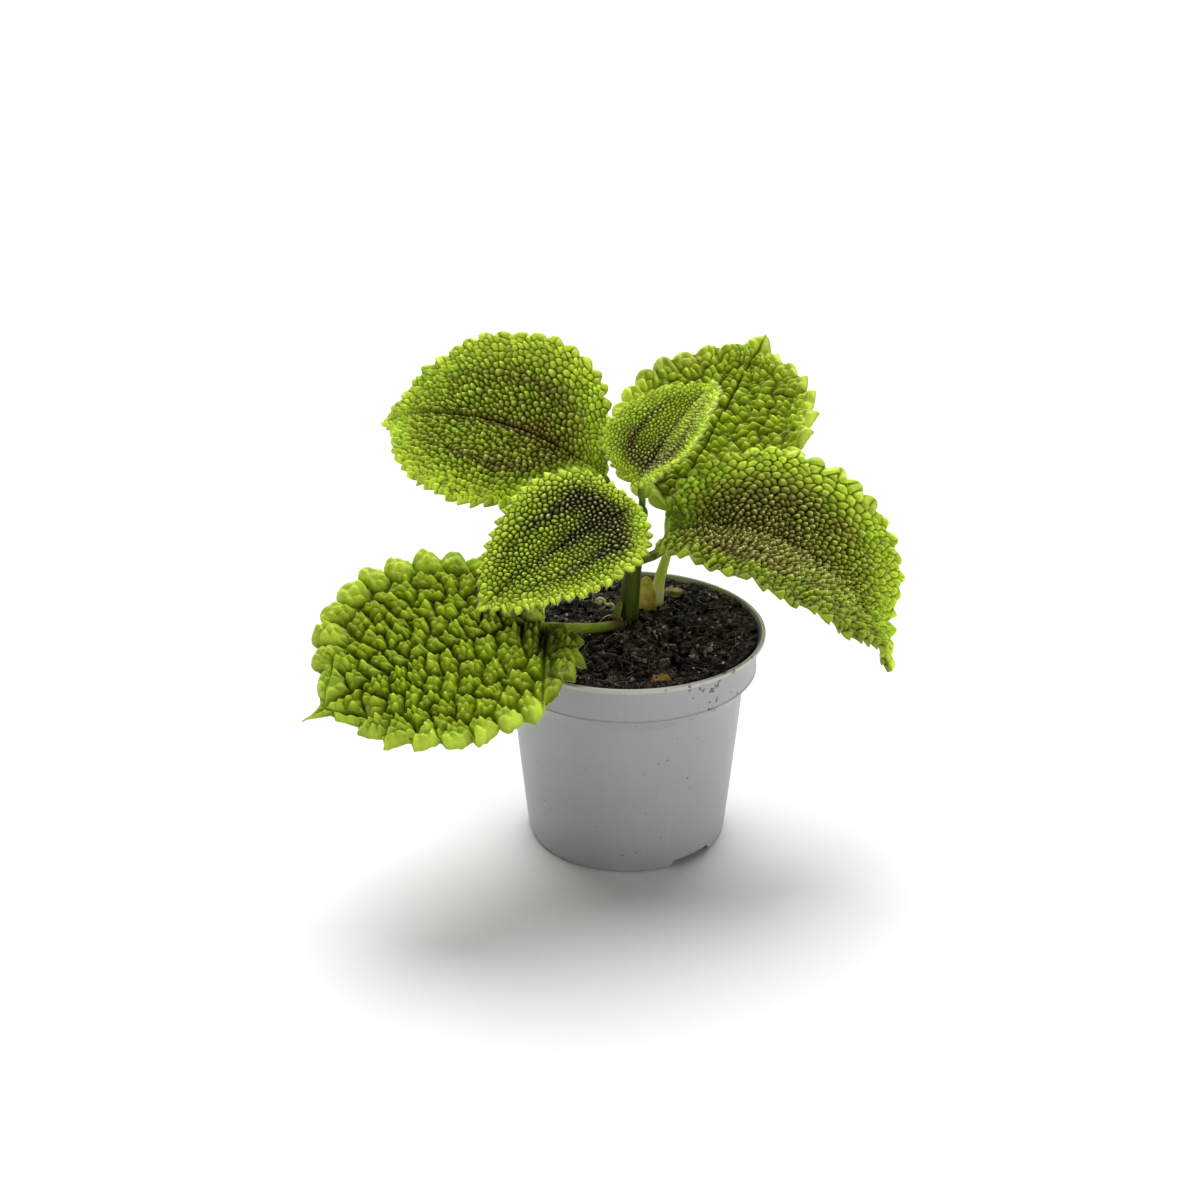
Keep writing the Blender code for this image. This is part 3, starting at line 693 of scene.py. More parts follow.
@dataclass
class LeafBlade:
    """One quilted, toothed blade."""

    name: str
    finish: LeafFinish
    slot: str
    bend: Bend
    teeth: int
    tooth_depth: float
    quilt: Quilt
    bronze: Bronze
    left_teeth: Tooth = Tooth.ROUNDED
    right_teeth: Tooth = Tooth.ROUNDED
    ruffle: float = 0.4
    edge_roll: float = 0.0
    tip_pinch: float = 0.5
    pinch_reach: float = 0.3
    thickness: float = 0.42
    rows: int = 260
    columns: int = 180
    seed: int = 3
    samples: tuple[int, int] = (150, 96)
    teeth_from: float = 0.76
    row_slant: float = 58.0

    def __post_init__(self) -> None:
        """Measure the smooth outline once."""
        bend = self.bend
        turn = np.linspace(math.pi, 0, 900)
        back = (1 - np.cos(turn)) / 2
        tip = bend.drip * np.exp(-((turn / 0.22) ** 2))
        x = (1 - back) * (1 - bend.drip) + tip - bend.lobe * 2.2 * np.sin(turn) * back**6
        y = np.sin(turn) * (1 - bend.ovate * np.cos(turn))
        y = y * (1 - self.tip_pinch * np.exp(-((turn / self.pinch_reach) ** 2)))
        self.edge = np.stack([x * bend.length, y / y.max() * bend.width / 2])
        self.run = np.concatenate([[0], np.cumsum(np.hypot(*np.diff(self.edge)))])

    def along_edge(self, share: Array) -> tuple[Array, Array]:
        """Points of the smooth left edge and its directions, at shares of its length from the base."""
        stop = np.asarray(share) * self.run[-1]
        here, ahead, behind = (np.stack([np.interp(stop + step, self.run, row) for row in self.edge])
                               for step in (0.0, 0.3, -0.3))
        way = (ahead - behind) / np.maximum(np.hypot(*(ahead - behind)), 1e-9)
        return here, way

    def tooth(self, share: Array, kind: Tooth) -> tuple[Array, Array]:
        """How far the toothed edge stands out, and how far its teeth lean to the tip."""
        place = np.clip(share, 0, 1) * self.teeth
        number = np.minimum(np.floor(place), self.teeth - 1)
        phase = place - number
        if kind is Tooth.ROUNDED:
            shape = np.abs(np.sin(np.pi * np.clip(phase, 0, 1))) ** 0.7
            lean = 0.10
        else:
            falling = np.clip((1 - phase) / 0.34, 0, 1) ** 0.85
            shape = np.where(phase < 0.66, (phase / 0.66) ** 0.8, falling)
            lean = 0.22
        size = np.minimum(1.0, 0.5 + 0.25 * np.minimum(number, self.teeth - 1 - number))
        size = size * (0.86 + 0.28 * np.abs(np.sin(number * 2.4 + self.seed)))
        size = size * np.clip((1 - share) * self.teeth, 0, 1) * np.clip(share * self.teeth, 0, 1)
        return self.tooth_depth * size * (shape - 0.5), lean * self.run[-1] / self.teeth * shape * size

    def flat(self, share: Array, across: Array) -> Array:
        """Flat places of grid points.

        Args:
            share: from 0 at the base to 1 at the tip.
            across: from -1 at the right edge to 1 at the left edge.

        Returns:
            Rows of (along, across) in millimetres.
        """
        here, way = self.along_edge(share)
        reach = np.abs(across)
        outer = np.clip((reach - self.teeth_from) / (1 - self.teeth_from), 0, 1) ** 1.4
        out = np.zeros_like(share)
        lean = np.zeros_like(share)
        for half, kind in ((Half.LEFT, self.left_teeth), (Half.RIGHT, self.right_teeth)):
            side = across * half.value > 0
            out[side], lean[side] = (row[side] for row in self.tooth(share, kind))
        x = (1 - reach) * share * self.bend.length + reach * here[0]
        y = reach * here[1]
        x = x + outer * (lean * way[0] - out * way[1])
        y = y + outer * (lean * way[1] + out * way[0])
        return np.stack([x, np.sign(across) * np.maximum(y, 0)], -1)

    def vein_line(self) -> Array:
        """The left of the two side veins, from the base, as rows."""
        wide = self.edge[1].argmax()
        x = np.linspace(0, 0.9, 160) * self.bend.length
        half = np.interp(x, self.edge[0][wide:], self.edge[1][wide:])
        near = x < self.edge[0][wide]
        rising = np.maximum.accumulate(self.edge[0][:wide])
        half[near] = np.interp(x[near], rising, self.edge[1][:wide])
        return np.stack([x, 0.5 * half * (1 - np.exp(-x / (0.07 * self.bend.length)))], -1)

    def vein_gaps(self, flat: Array) -> tuple[Array, Array]:
        """Distances from flat places to the midrib and to the nearest side vein, which winds a little."""
        x, y = flat[:, 0], np.abs(flat[:, 1])
        beyond = np.maximum(np.maximum(-x, x - 0.96 * self.bend.length), 0)
        wound = np.stack([x, y + self.winding(x)], -1)
        return np.hypot(y, beyond), Workbench.gaps(wound, self.vein_line())

    def winding(self, x: Array) -> Array:
        """How far a side vein strays from its smooth line."""
        step = self.quilt.spacing
        long_wave = 0.5 * np.sin(x * 1.1 / step + 2 * self.seed)
        return 0.28 * step * (np.sin(x * 2.6 / step + self.seed) + long_wave)

    def strips(self, flat: Array) -> Array:
        """The strip between veins in which each flat place lies, as a number."""
        line = self.vein_line()
        x, y = flat[:, 0], np.abs(flat[:, 1]) + self.winding(flat[:, 0])
        inner = (x > 0) & (x < line[-1, 0]) & (y < np.interp(x, line[:, 0], line[:, 1]))
        return inner * 1 + (flat[:, 1] < 0) * 2

    def ground(self) -> tuple[Array, Array]:
        """Places all over the blade and the area of each, counted for less where cushions are coarser."""
        shares = np.linspace(0.01, 0.99, self.samples[0])
        sides = np.linspace(-0.97, 0.97, self.samples[1])
        share, across = (axis.ravel() for axis in np.meshgrid(shares, sides, indexing="ij"))
        ground = self.flat(share, across)
        sheet = ground.reshape(*self.samples, 2)
        first, second = np.gradient(sheet, axis=0), np.gradient(sheet, axis=1)
        area = np.abs(first[..., 0] * second[..., 1] - first[..., 1] * second[..., 0]).ravel()
        outer = np.abs(across) ** 2 + np.clip(share - 0.5, 0, 1)
        return ground, area / (1 + (self.quilt.coarser - 1) * np.clip(outer, 0, 1)) ** 2

    def tooth_centres(self, inset: float) -> Array:
        """The centre of the cushion in each tooth, both halves, set in from the smooth edge."""
        here, way = self.along_edge((np.arange(1, self.teeth - 1) + 0.5) / self.teeth)
        rim = np.stack([here[0] + way[1] * inset, here[1] - way[0] * inset], -1)
        return np.concatenate([rim, rim * (1, -1)])

    def spread(self, spacing: float, clear: float, rounds: int) -> tuple[Array, Array]:
        """Centres of cushions: one in each tooth, the rest evened out within the strips between veins.

        Args:
            spacing: the usual distance between two centres.
            clear: how much of each tooth its own cushion keeps for itself, as a share.
            rounds: how often the others are evened out.

        Returns:
            The centres and the strip of each.
        """
        ground, weight = self.ground()
        dice = np.random.default_rng(self.seed)
        inset = 0.48 * self.run[-1] / self.teeth
        rim = self.tooth_centres(inset)
        taken = Workbench.apart(ground, rim).min(1) < (clear * inset) ** 2
        free = weight * np.where(taken, 0.0, 1.0)
        count = max(int(free.sum() / (0.866 * spacing**2)) - len(rim) * (clear == 0), 10)
        picked = dice.choice(len(ground), count, replace=False, p=free / free.sum())
        centres = np.concatenate([rim, ground[picked]])
        ground_strips = self.strips(ground)
        strips = self.strips(centres)
        for _ in range(rounds):
            near = self.two_nearest(self.grain(ground), ground_strips, self.grain(centres), strips)[0]
            total = np.bincount(near, weight, len(centres))
            mean = np.stack([np.bincount(near, weight * ground[:, i], len(centres)) for i in (0, 1)], -1)
            held = total > 0
            held[: len(rim)] = False
            centres[held] = mean[held] / total[held, None]
        return centres, strips

    def grain(self, flat: Array) -> Array:
        """Flat places as the cushions see them: wound a little and drawn out towards the margin."""
        quilt = self.quilt
        step = quilt.group_spacing or 2 * quilt.spacing
        x, y = flat[:, 0], np.abs(flat[:, 1])
        x, y = (x + 0.10 * step * np.sin(3.1 * y / step + self.seed),
                y + 0.10 * step * np.sin(2.7 * x / step + 2 * self.seed))
        out, across = Workbench.turned(x, y, -self.row_slant)
        return np.stack([out / quilt.stretch, across * quilt.stretch], -1)

    @staticmethod
    def two_nearest(places: Array, strips: Array, centres: Array, centre_strips: Array) -> Sequence[Array]:
        """The nearest centre in each place's strip, its distance, and that of the border beyond it."""
        nearest = np.empty(len(places), int)
        away, border = np.empty((2, len(places)))
        for part in Workbench.parts(len(places)):
            foreign = strips[part, None] != centre_strips[None]
            gap = Workbench.apart(places[part], centres) + FAR * foreign
            order = np.argpartition(gap, 1, axis=1)[:, :2]
            both = np.take_along_axis(gap, order, 1)
            low, high = np.sort(both, axis=1).T
            nearest[part] = order[np.arange(len(order)), both.argmin(1)]
            apart = np.sqrt(((centres[order[:, 0]] - centres[order[:, 1]]) ** 2).sum(-1))
            border[part] = (high - low) / (2 * np.maximum(apart, 1e-6))
            away[part] = np.sqrt(low)
        return nearest, away, border

    def edge_gap(self, flat: Array) -> Array:
        """Distance from flat places to the toothed edge."""
        share = np.linspace(0, 1, 700)
        gap = np.full(len(flat), FAR)
        for half in Half:
            side = flat[:, 1] * half.value >= 0
            line = self.flat(share, np.full(len(share), float(half.value)))
            gap[side] = Workbench.gaps(flat[side], line)
        return gap

    def rise(self, flat: Array, lot: tuple[Array, Array], fence: Array) -> tuple[Array, Array]:
        """The cushion at each flat place, and how near its crest the place is, from 0 to 1.

        Args:
            flat: rows of (along, across) in millimetres.
            lot: the cushions' centres and strips.
            fence: distance to the nearest edge or vein, where every cushion ends.

        Returns:
            The cushion's number and the nearness.
        """
        centres, strips = lot
        nearest, away, border = self.two_nearest(self.grain(flat), self.strips(flat),
                                                 self.grain(centres), strips)
        border = np.clip(np.minimum(border, fence), 0, 1e3)
        return nearest, border / np.maximum(border + away, 1e-6)

    def cushions(self, flat: Array) -> tuple[Array, Array, Array, Array]:
        """The relief of the blade at flat places.

        Args:
            flat: rows of (along, across) in millimetres.

        Returns:
            Height from 0 to 1, how near each place is to its own crest, the cushion's own number
            and the gap to the edge.
        """
        quilt = self.quilt
        edge = self.edge_gap(flat)
        middle, side = self.vein_gaps(flat)
        fence = np.minimum(np.minimum(middle, side), edge * 1.1)
        fence = np.minimum(fence, np.abs(self.fold_gap(flat)) + 9.0 * (quilt.fold == 0))
        nearest, near = self.rise(flat, self.small, fence)
        own = np.random.default_rng(self.seed + 1).uniform(0, 1, len(self.small[0]))[nearest]
        bulge = np.sqrt(np.clip(1 - ((1 - near) / quilt.reach) ** 2, 0, 1))
        crest = bulge * (1 - quilt.point) + near * quilt.point
        height = crest * (quilt.lowest + (1 - quilt.lowest) * own)
        if quilt.group_share:
            _, near = self.rise(flat, self.large, fence)
            group = np.sqrt(np.clip(1 - (1 - near) ** 2.6, 0, 1))
            plain = np.where(flat[:, 1] > 0, *quilt.plain)
            smooth = np.exp(-((edge / plain) ** 4))
            smooth = smooth * np.clip(4.4 - 5 * flat[:, 0] / self.bend.length, 0.3, 1)
            share = quilt.group_share + (0.68 - quilt.group_share) * smooth
            height = group * (share + (1 - share) * height)
            crest = group * (0.35 + 0.65 * (crest + (1 - crest) * smooth))
        deep = 0.3 + 0.7 * np.clip(middle / quilt.furrow, 0, 1)
        tip = np.clip((self.bend.length - flat[:, 0]) / (0.11 * self.bend.length), 0.2, 1)
        if quilt.fold:
            tip = tip * (1 - 0.4 * np.clip(self.fold_gap(flat) / 2, 0, 1))
        return height * deep * tip, crest * deep, own, edge

    def fold_gap(self, flat: Array) -> Array:
        """Distance past the crease of the left base lobe, below 0 on the side of the tip."""
        gap = 0.515 * flat[:, 1] - 0.857 * flat[:, 0] - 0.5
        return np.where(flat[:, 1] > 0, gap, -9.0)

    def place(self, flat: Array, lift: Array) -> Array:
        """Places of flat points on the bent blade, lifted along its surface."""
        bend = self.bend
        along = np.linspace(-0.2, 1.0, 360) * bend.length
        share = np.clip(along / bend.length, 0, 1)
        pitch = np.radians(bend.pitch - bend.droop * share)
        turn, roll = math.radians(bend.azimuth), math.radians(bend.roll)
        run = np.cos(pitch)
        ahead = np.stack([run * math.cos(turn), run * math.sin(turn), np.sin(pitch)], -1)
        level = np.array([-math.sin(turn), math.cos(turn), 0.0]) + 0 * ahead
        side = level * math.cos(roll) + np.cross(ahead, level) * math.sin(roll)
        steps = np.diff(along)[:, None] * (ahead[1:] + ahead[:-1]) / 2
        line = np.concatenate([np.zeros((1, 3)), np.cumsum(steps, axis=0)])
        line = line - Workbench.read(0.0, along, line) + np.array(bend.base)
        x, y = flat[:, 0], flat[:, 1]
        middle, side, up = (Workbench.read(x, along, row) for row in (line, side, np.cross(ahead, side)))
        curl = np.radians(np.where(y >= 0, bend.curl_left, bend.curl_right)) / (bend.width / 2)
        start = math.radians(bend.fold)
        angle = start - curl * np.abs(y)
        out = (math.sin(start) - np.sin(angle)) / curl * np.sign(y)
        rise = (np.cos(angle) - math.cos(start)) / curl
        normal = up * np.cos(angle)[:, None] - side * (np.sign(y) * np.sin(angle))[:, None]
        return middle + side * out[:, None] + up * rise[:, None] + normal * lift[:, None]

    def wave(self, flat: Array, edge: Array) -> Array:
        """The rise and fall of the blade towards its edge: waves, a rolled right edge and a folded lobe."""
        near = np.exp(-edge / (0.14 * self.bend.width))
        phase = flat[:, 0] * 0.42 + self.seed + np.sign(flat[:, 1]) * 1.3
        rise = self.ruffle * near * (np.sin(phase) + 0.6 * np.sin(phase * 2.3 + 1.0))
        rolled = np.clip(1 - edge / 2.6, 0, 1) ** 1.6 * (flat[:, 1] < 0)
        rolled = rolled * np.clip(flat[:, 0] / (0.15 * self.bend.length), 0, 1)
        rise = rise + self.edge_roll * rolled
        lobe = np.clip(self.fold_gap(flat) / 4.0, 0, 1)
        return rise + self.quilt.fold * lobe * (1.6 - 0.6 * lobe)

    def browning(self, flat: Array, edge: Array) -> Array:
        """How brown each flat place is, from 0 to 1."""
        bronze, length = self.bronze, self.bend.length
        middle, side = self.vein_gaps(flat)
        x = np.maximum(flat[:, 0], 0) / length
        round_base = np.hypot(flat[:, 0], flat[:, 1] * 0.8) / length
        amount = bronze.base * np.exp(-((round_base / bronze.reach) ** 2))
        veins = np.exp(-((np.minimum(middle, side * 1.15) / bronze.vein_width) ** 2))
        amount = amount + bronze.veins * veins * (1 - 0.75 * x)
        field_share = np.clip(1 - np.abs(flat[:, 1]) / (0.46 * self.bend.width), 0, 1)
        amount = amount + bronze.middle * field_share**0.7 * np.clip(1.15 - x, 0, 1)
        return np.clip(amount, 0, 1) * np.clip((edge - 0.35 * bronze.margin) / bronze.margin, 0, 1)

    def standing_out(self, lift: Array, rows: int, reach: float) -> Array:
        """How far each point of the grid stands above its surroundings within a reach in millimetres."""
        table = lift.reshape(-1, rows + 1)
        for length in (self.bend.width, self.bend.length):
            half = max(int(reach * len(table) / length), 1)
            total = np.cumsum(np.pad(table, ((half + 1, half), (0, 0)), mode="edge"), axis=0)
            window = 2 * half + 1
            table = ((total[window:] - total[:-window]) / window).T
        return lift - table.ravel()

    def ribs(self, flat: Array, edge: Array) -> Array:
        """How far the three veins stand out of the lower face."""
        middle, side = self.vein_gaps(flat)
        taper = 1 - 0.8 * np.clip(flat[:, 0] / self.bend.length, 0, 1)
        ribs = (0.55 * np.exp(-((middle / 0.6) ** 2)) + 0.4 * np.exp(-((side / 0.45) ** 2))) * taper
        return ribs * np.clip(edge / 1.5, 0, 1)

    def sheet(self, rows: int, columns: int, below: bool) -> Piece:
        """Move a grid primitive onto the blade's upper or lower face.

        Args:
            rows: faces from the base to the tip.
            columns: faces across.
            below: whether it is the lower face.

        Returns:
            The open sheet, with the numbers that its material reads.
        """
        sheet, grid = Workbench.grid(f"{self.name}_face", rows, columns)
        share, across = (grid[:, 0] + 1) / 2, np.clip(grid[:, 1], -1, 1)
        flat = self.flat(share, across)
        height, crest, own, edge = self.cushions(flat)
        lift = height * self.quilt.height
        around = 0.38 * (self.quilt.group_spacing or 1.9 * self.quilt.spacing)
        stands = self.standing_out(lift, rows, around)
        if below:
            ribs = self.ribs(flat, edge)
            thick = self.thickness * (0.45 + 0.55 * np.clip(edge / 1.2, 0, 1))
            lift = lift * self.quilt.hollow - thick - ribs
        leant = flat + (height * self.quilt.height)[:, None] * self.quilt.lean
        Workbench.move(sheet, self.place(leant, lift + self.wave(flat, edge)))
        # Painted shade: the folded base lobe is darkened through the stored tint, and its pale margin is
        # weakened there.
        shaded = np.clip(self.fold_gap(flat) / 1.5, 0, 1) * (self.quilt.fold > 0)
        lime = np.where(flat[:, 1] > 0, *self.quilt.lime)
        rim = np.exp(-((edge / (lime * self.run[-1] / self.teeth)) ** 2)) * (1 - 0.7 * shaded)
        # Painted shade: the right half's margin is darkened as well, through the tint.
        shaded = shaded + self.quilt.painted_shade_margin * np.exp(-((edge / 6.0) ** 2)) * (flat[:, 1] < 0)
        # Painted light and shade: crests and relief that stands above its surroundings are lit, valleys are
        # shaded; stored as the cushion number.
        light = np.clip(0.45 * crest + 0.55 * (0.42 + 0.9 * stands / self.quilt.height), 0, 1)
        brown = np.clip(1.6 * ribs, 0, 1) if below else self.browning(flat, edge)
        Workbench.paint(sheet, cushion=light, tint=own - shaded, bronze=brown, rim=rim, under=float(below))
        if below:
            Workbench.edit(sheet, (bpy.ops.mesh.flip_normals, {}))
        return sheet

    def build(self) -> Piece:
        """Make the blade: two sheets, welded at base and tip and bridged along the edge."""
        self.small = self.spread(self.quilt.spacing, 0.0, 6)
        if self.quilt.group_share:
            self.large = self.spread(self.quilt.group_spacing, 1.3, 4)
        upper = self.sheet(self.rows, self.columns, below=False)
        lower = self.sheet(self.rows // 2, self.columns // 2, below=True)
        for sheet in (upper, lower):
            Workbench.edit(sheet, MERGE)
        blade = Workbench.join(self.name.replace("leaf", "blade"), [upper, lower])
        Workbench.edit(blade, SELECT_EDGES, SELECT_NONE, SELECT_RIM, BRIDGE, SELECT_ALL, FACE_OUT)
        return Workbench.hand_in(blade, self.slot, self.finish.material(), self.name, sharp=80.0)

    def midrib(self, shares: Sequence[float], depths: Sequence[float]) -> list[Point]:
        """Points under the blade's midrib, for its petiole to run on along."""
        flat = np.array([(share * self.bend.length, 0.0) for share in shares])
        return [tuple(row) for row in self.place(flat, -np.array(depths))]


@dataclass
class LeafDown:
    """Fine white hairs on the edge, the lower face and the cushions of a blade."""

    blade: LeafBlade
    finish: Material
    length: float
    many: float = 1.0
    edge_hairs: int = 240
    under_hairs: int = 420
    top_hairs: int = 90
    radius: float = 0.034

    def roots(self) -> tuple[Array, Array]:
        """Where the hairs grow, and which way."""
        blade = self.blade
        dice = np.random.default_rng(blade.seed + 40)
        counts = (self.edge_hairs, self.under_hairs, self.top_hairs)
        edge, under, top = (int(self.many * count) for count in counts)
        share = dice.uniform(0.01, 0.99, edge)
        sign = dice.choice([-1.0, 1.0], edge)
        rim = blade.flat(share, sign)
        _, way = blade.along_edge(share)
        outside = rim + np.stack([-way[1] + 0.7 * way[0], sign * (way[0] + 0.7 * way[1])], -1)
        tilt = dice.uniform(-0.9, 0.3, edge)
        wave = blade.wave(rim, np.zeros(len(rim)))
        starts = [blade.place(rim, wave - 0.12)]
        ways = [blade.place(outside, wave - 0.12 + tilt) - starts[0]]
        for count, aim in ((under, -1.0), (top, 1.0)):
            share, across = dice.uniform(0.04, 0.96, count), dice.uniform(-0.94, 0.94, count)
            flat = blade.flat(share, across)
            height, _, _, gap = blade.cushions(flat)
            lift = height * blade.quilt.height * (blade.quilt.hollow if aim < 0 else 0.98)
            wave = blade.wave(flat, gap)
            flat = flat + lift[:, None] * blade.quilt.lean
            lift = lift + wave - (blade.thickness if aim < 0 else 0.03)
            starts.append(blade.place(flat, lift))
            shifted = flat + dice.uniform(-0.7, 0.7, flat.shape)
            ways.append(blade.place(shifted, lift + aim) - starts[-1])
        return np.concatenate(starts), np.concatenate(ways)

    def build(self) -> Piece:
        """Model one hair as a thin cone and copy it over the blade."""
        starts, ways = self.roots()
        dice = np.random.default_rng(self.blade.seed + 50)
        hair = Workbench.add("hair", bpy.ops.mesh.primitive_cone_add, vertices=3, radius1=1, radius2=0,
                             depth=1, end_fill_type="NGON", location=(0, 0, 0.5))
        bpy.ops.object.transform_apply(location=True)
        count = len(starts)
        sizes = np.full((count, 3), self.radius)
        sizes[:, 2] = self.length * dice.uniform(0.5, 1.25, count)
        name = self.blade.name.replace("leaf", "down")
        down = Workbench.copies(name, hair, starts, aimed(ways), sizes, dice.uniform(0, 1, count))
        return Workbench.hand_in(down, self.blade.slot, self.finish)


def aimed(ways: Array) -> Array:
    """Matrices that turn +Z to each of these directions."""
    up = ways / np.linalg.norm(ways, axis=1, keepdims=True)
    spare = np.where(np.abs(up[:, 2:]) < 0.9, [[0.0, 0.0, 1.0]], [[1.0, 0.0, 0.0]])
    side = np.cross(spare, up)
    side /= np.linalg.norm(side, axis=1, keepdims=True)
    return np.stack([side, np.cross(up, side), up], -1)


def tumbled(count: int, dice: Dice) -> Array:
    """Random turns as matrices."""
    quaternions = dice.normal(size=(count, 4))
    w, x, y, z = (quaternions / np.linalg.norm(quaternions, axis=1, keepdims=True)).T
    rows = [[1 - 2 * (y * y + z * z), 2 * (x * y - z * w), 2 * (x * z + y * w)],
            [2 * (x * y + z * w), 1 - 2 * (x * x + z * z), 2 * (y * z - x * w)],
            [2 * (x * z - y * w), 2 * (y * z + x * w), 1 - 2 * (x * x + y * y)]]
    return np.moveaxis(np.array(rows), -1, 0)


@dataclass
class Petiole:
    """The stalk of one leaf, which runs on under the blade."""

    blade: LeafBlade
    path: tuple[Point, ...]
    finish: Material
    radius: float = 1.05
    foot_radius: float = 0.0
    under_shares: tuple[float, ...] = (0.0, 0.1, 0.25, 0.45)
    under_radii: tuple[float, ...] = (0.75, 0.5, 0.22)

    def build(self) -> Piece:
        """Draw the stalk as one tapering rod with a slight swelling at its foot."""
        ends = (self.radius, *self.under_radii)
        depths = [self.blade.thickness + end - 0.15 for end in ends]
        path = [*self.path, *self.blade.midrib(self.under_shares, depths)]
        radii = [self.radius] * len(self.path) + list(ends)
        radii[0] = self.radius * 1.12
        if self.foot_radius:
            radii[:3] = [self.foot_radius, self.foot_radius, self.foot_radius * 0.85]
        stalk = Workbench.rod(self.blade.name.replace("leaf", "petiole"), path, radii, sides=4, steps=7)
        Workbench.paint(stalk, ridge=0.0, tint=0.5)
        return Workbench.hand_in(stalk, "stem_green", self.finish)


@dataclass
class MainStem:
    """The upright ridged stem with its two swollen nodes."""

    foot: tuple[float, float] = (0.2, 5.0)
    tip: tuple[float, float] = (2.4, 5.2)
    soil: float = 46.2
    top: float = 74.4
    foot_radius: float = 2.05
    tip_radius: float = 1.6
    nodes: tuple[float, ...] = (63.0, 73.2)
    swelling: float = 0.35
    swelling_width: float = 1.3
    ridges: int = 4
    ridge: float = 0.072
    twist: float = 0.072
    bump: float = 0.05

    def axis(self, height: Array) -> Array:
        """Points on the stem's axis, which leans a little."""
        share = np.clip((np.asarray(height) - self.soil) / (self.top - self.soil), 0, 1)
        x = self.foot[0] + (self.tip[0] - self.foot[0]) * share**1.3
        y = self.foot[1] + (self.tip[1] - self.foot[1]) * share
        return np.stack([x, y], -1)

    def build(self) -> Piece:
        """Roll a grid into a tube along the axis, with its ridges and nodes, and close its ends."""
        low, high = self.soil - 8.0, self.top + 1.1
        stem, grid = Workbench.grid("main_stem", 72, 96)
        height = low + (grid[:, 1] + 1) / 2 * (high - low)
        turn = (grid[:, 0] + 1) * math.pi
        share = np.clip((height - self.soil) / (self.top - self.soil), 0, 1)
        radius = self.foot_radius + (self.tip_radius - self.foot_radius) * share
        for node in self.nodes:
            radius = radius + self.swelling * np.exp(-(((height - node) / self.swelling_width) ** 2))
        crest = np.cos(self.ridges * turn + self.twist * (height - self.soil))
        radius = radius * (1 + self.ridge * np.abs(crest) ** 0.6 * np.sign(crest))
        bumps = [noise.noise((side * 2.0, rise * 0.25, 0.0)) for side, rise in zip(np.cos(turn), height)]
        radius = radius + self.bump * np.array(bumps)
        close = np.clip((high - height) / 1.3, 0, 1)
        radius = radius * np.sqrt(1 - (1 - close) ** 2)
        middle = self.axis(height)
        Workbench.move(stem, np.stack([middle[:, 0] + radius * np.cos(turn),
                                       middle[:, 1] + radius * np.sin(turn), height], -1))
        Workbench.paint(stem, along=share * 0.5 + 0.1, ridge=np.clip(crest, 0, 1), tint=0.5)
        weld = (bpy.ops.mesh.remove_doubles, {"threshold": 1e-5})
        Workbench.edit(stem, weld, SELECT_OPEN, FILL, SELECT_ALL, FACE_OUT)
        finish = StalkFinish("stem_skin", green=(0.020, 0.036, 0.001), light=(0.100, 0.145, 0.006),
                             foot=(0.020, 0.028, 0.003), foot_reach=0.12, tip=(0.15, 0.22, 0.02))
        return Workbench.hand_in(stem, "stem_green", finish.material(), "stem")


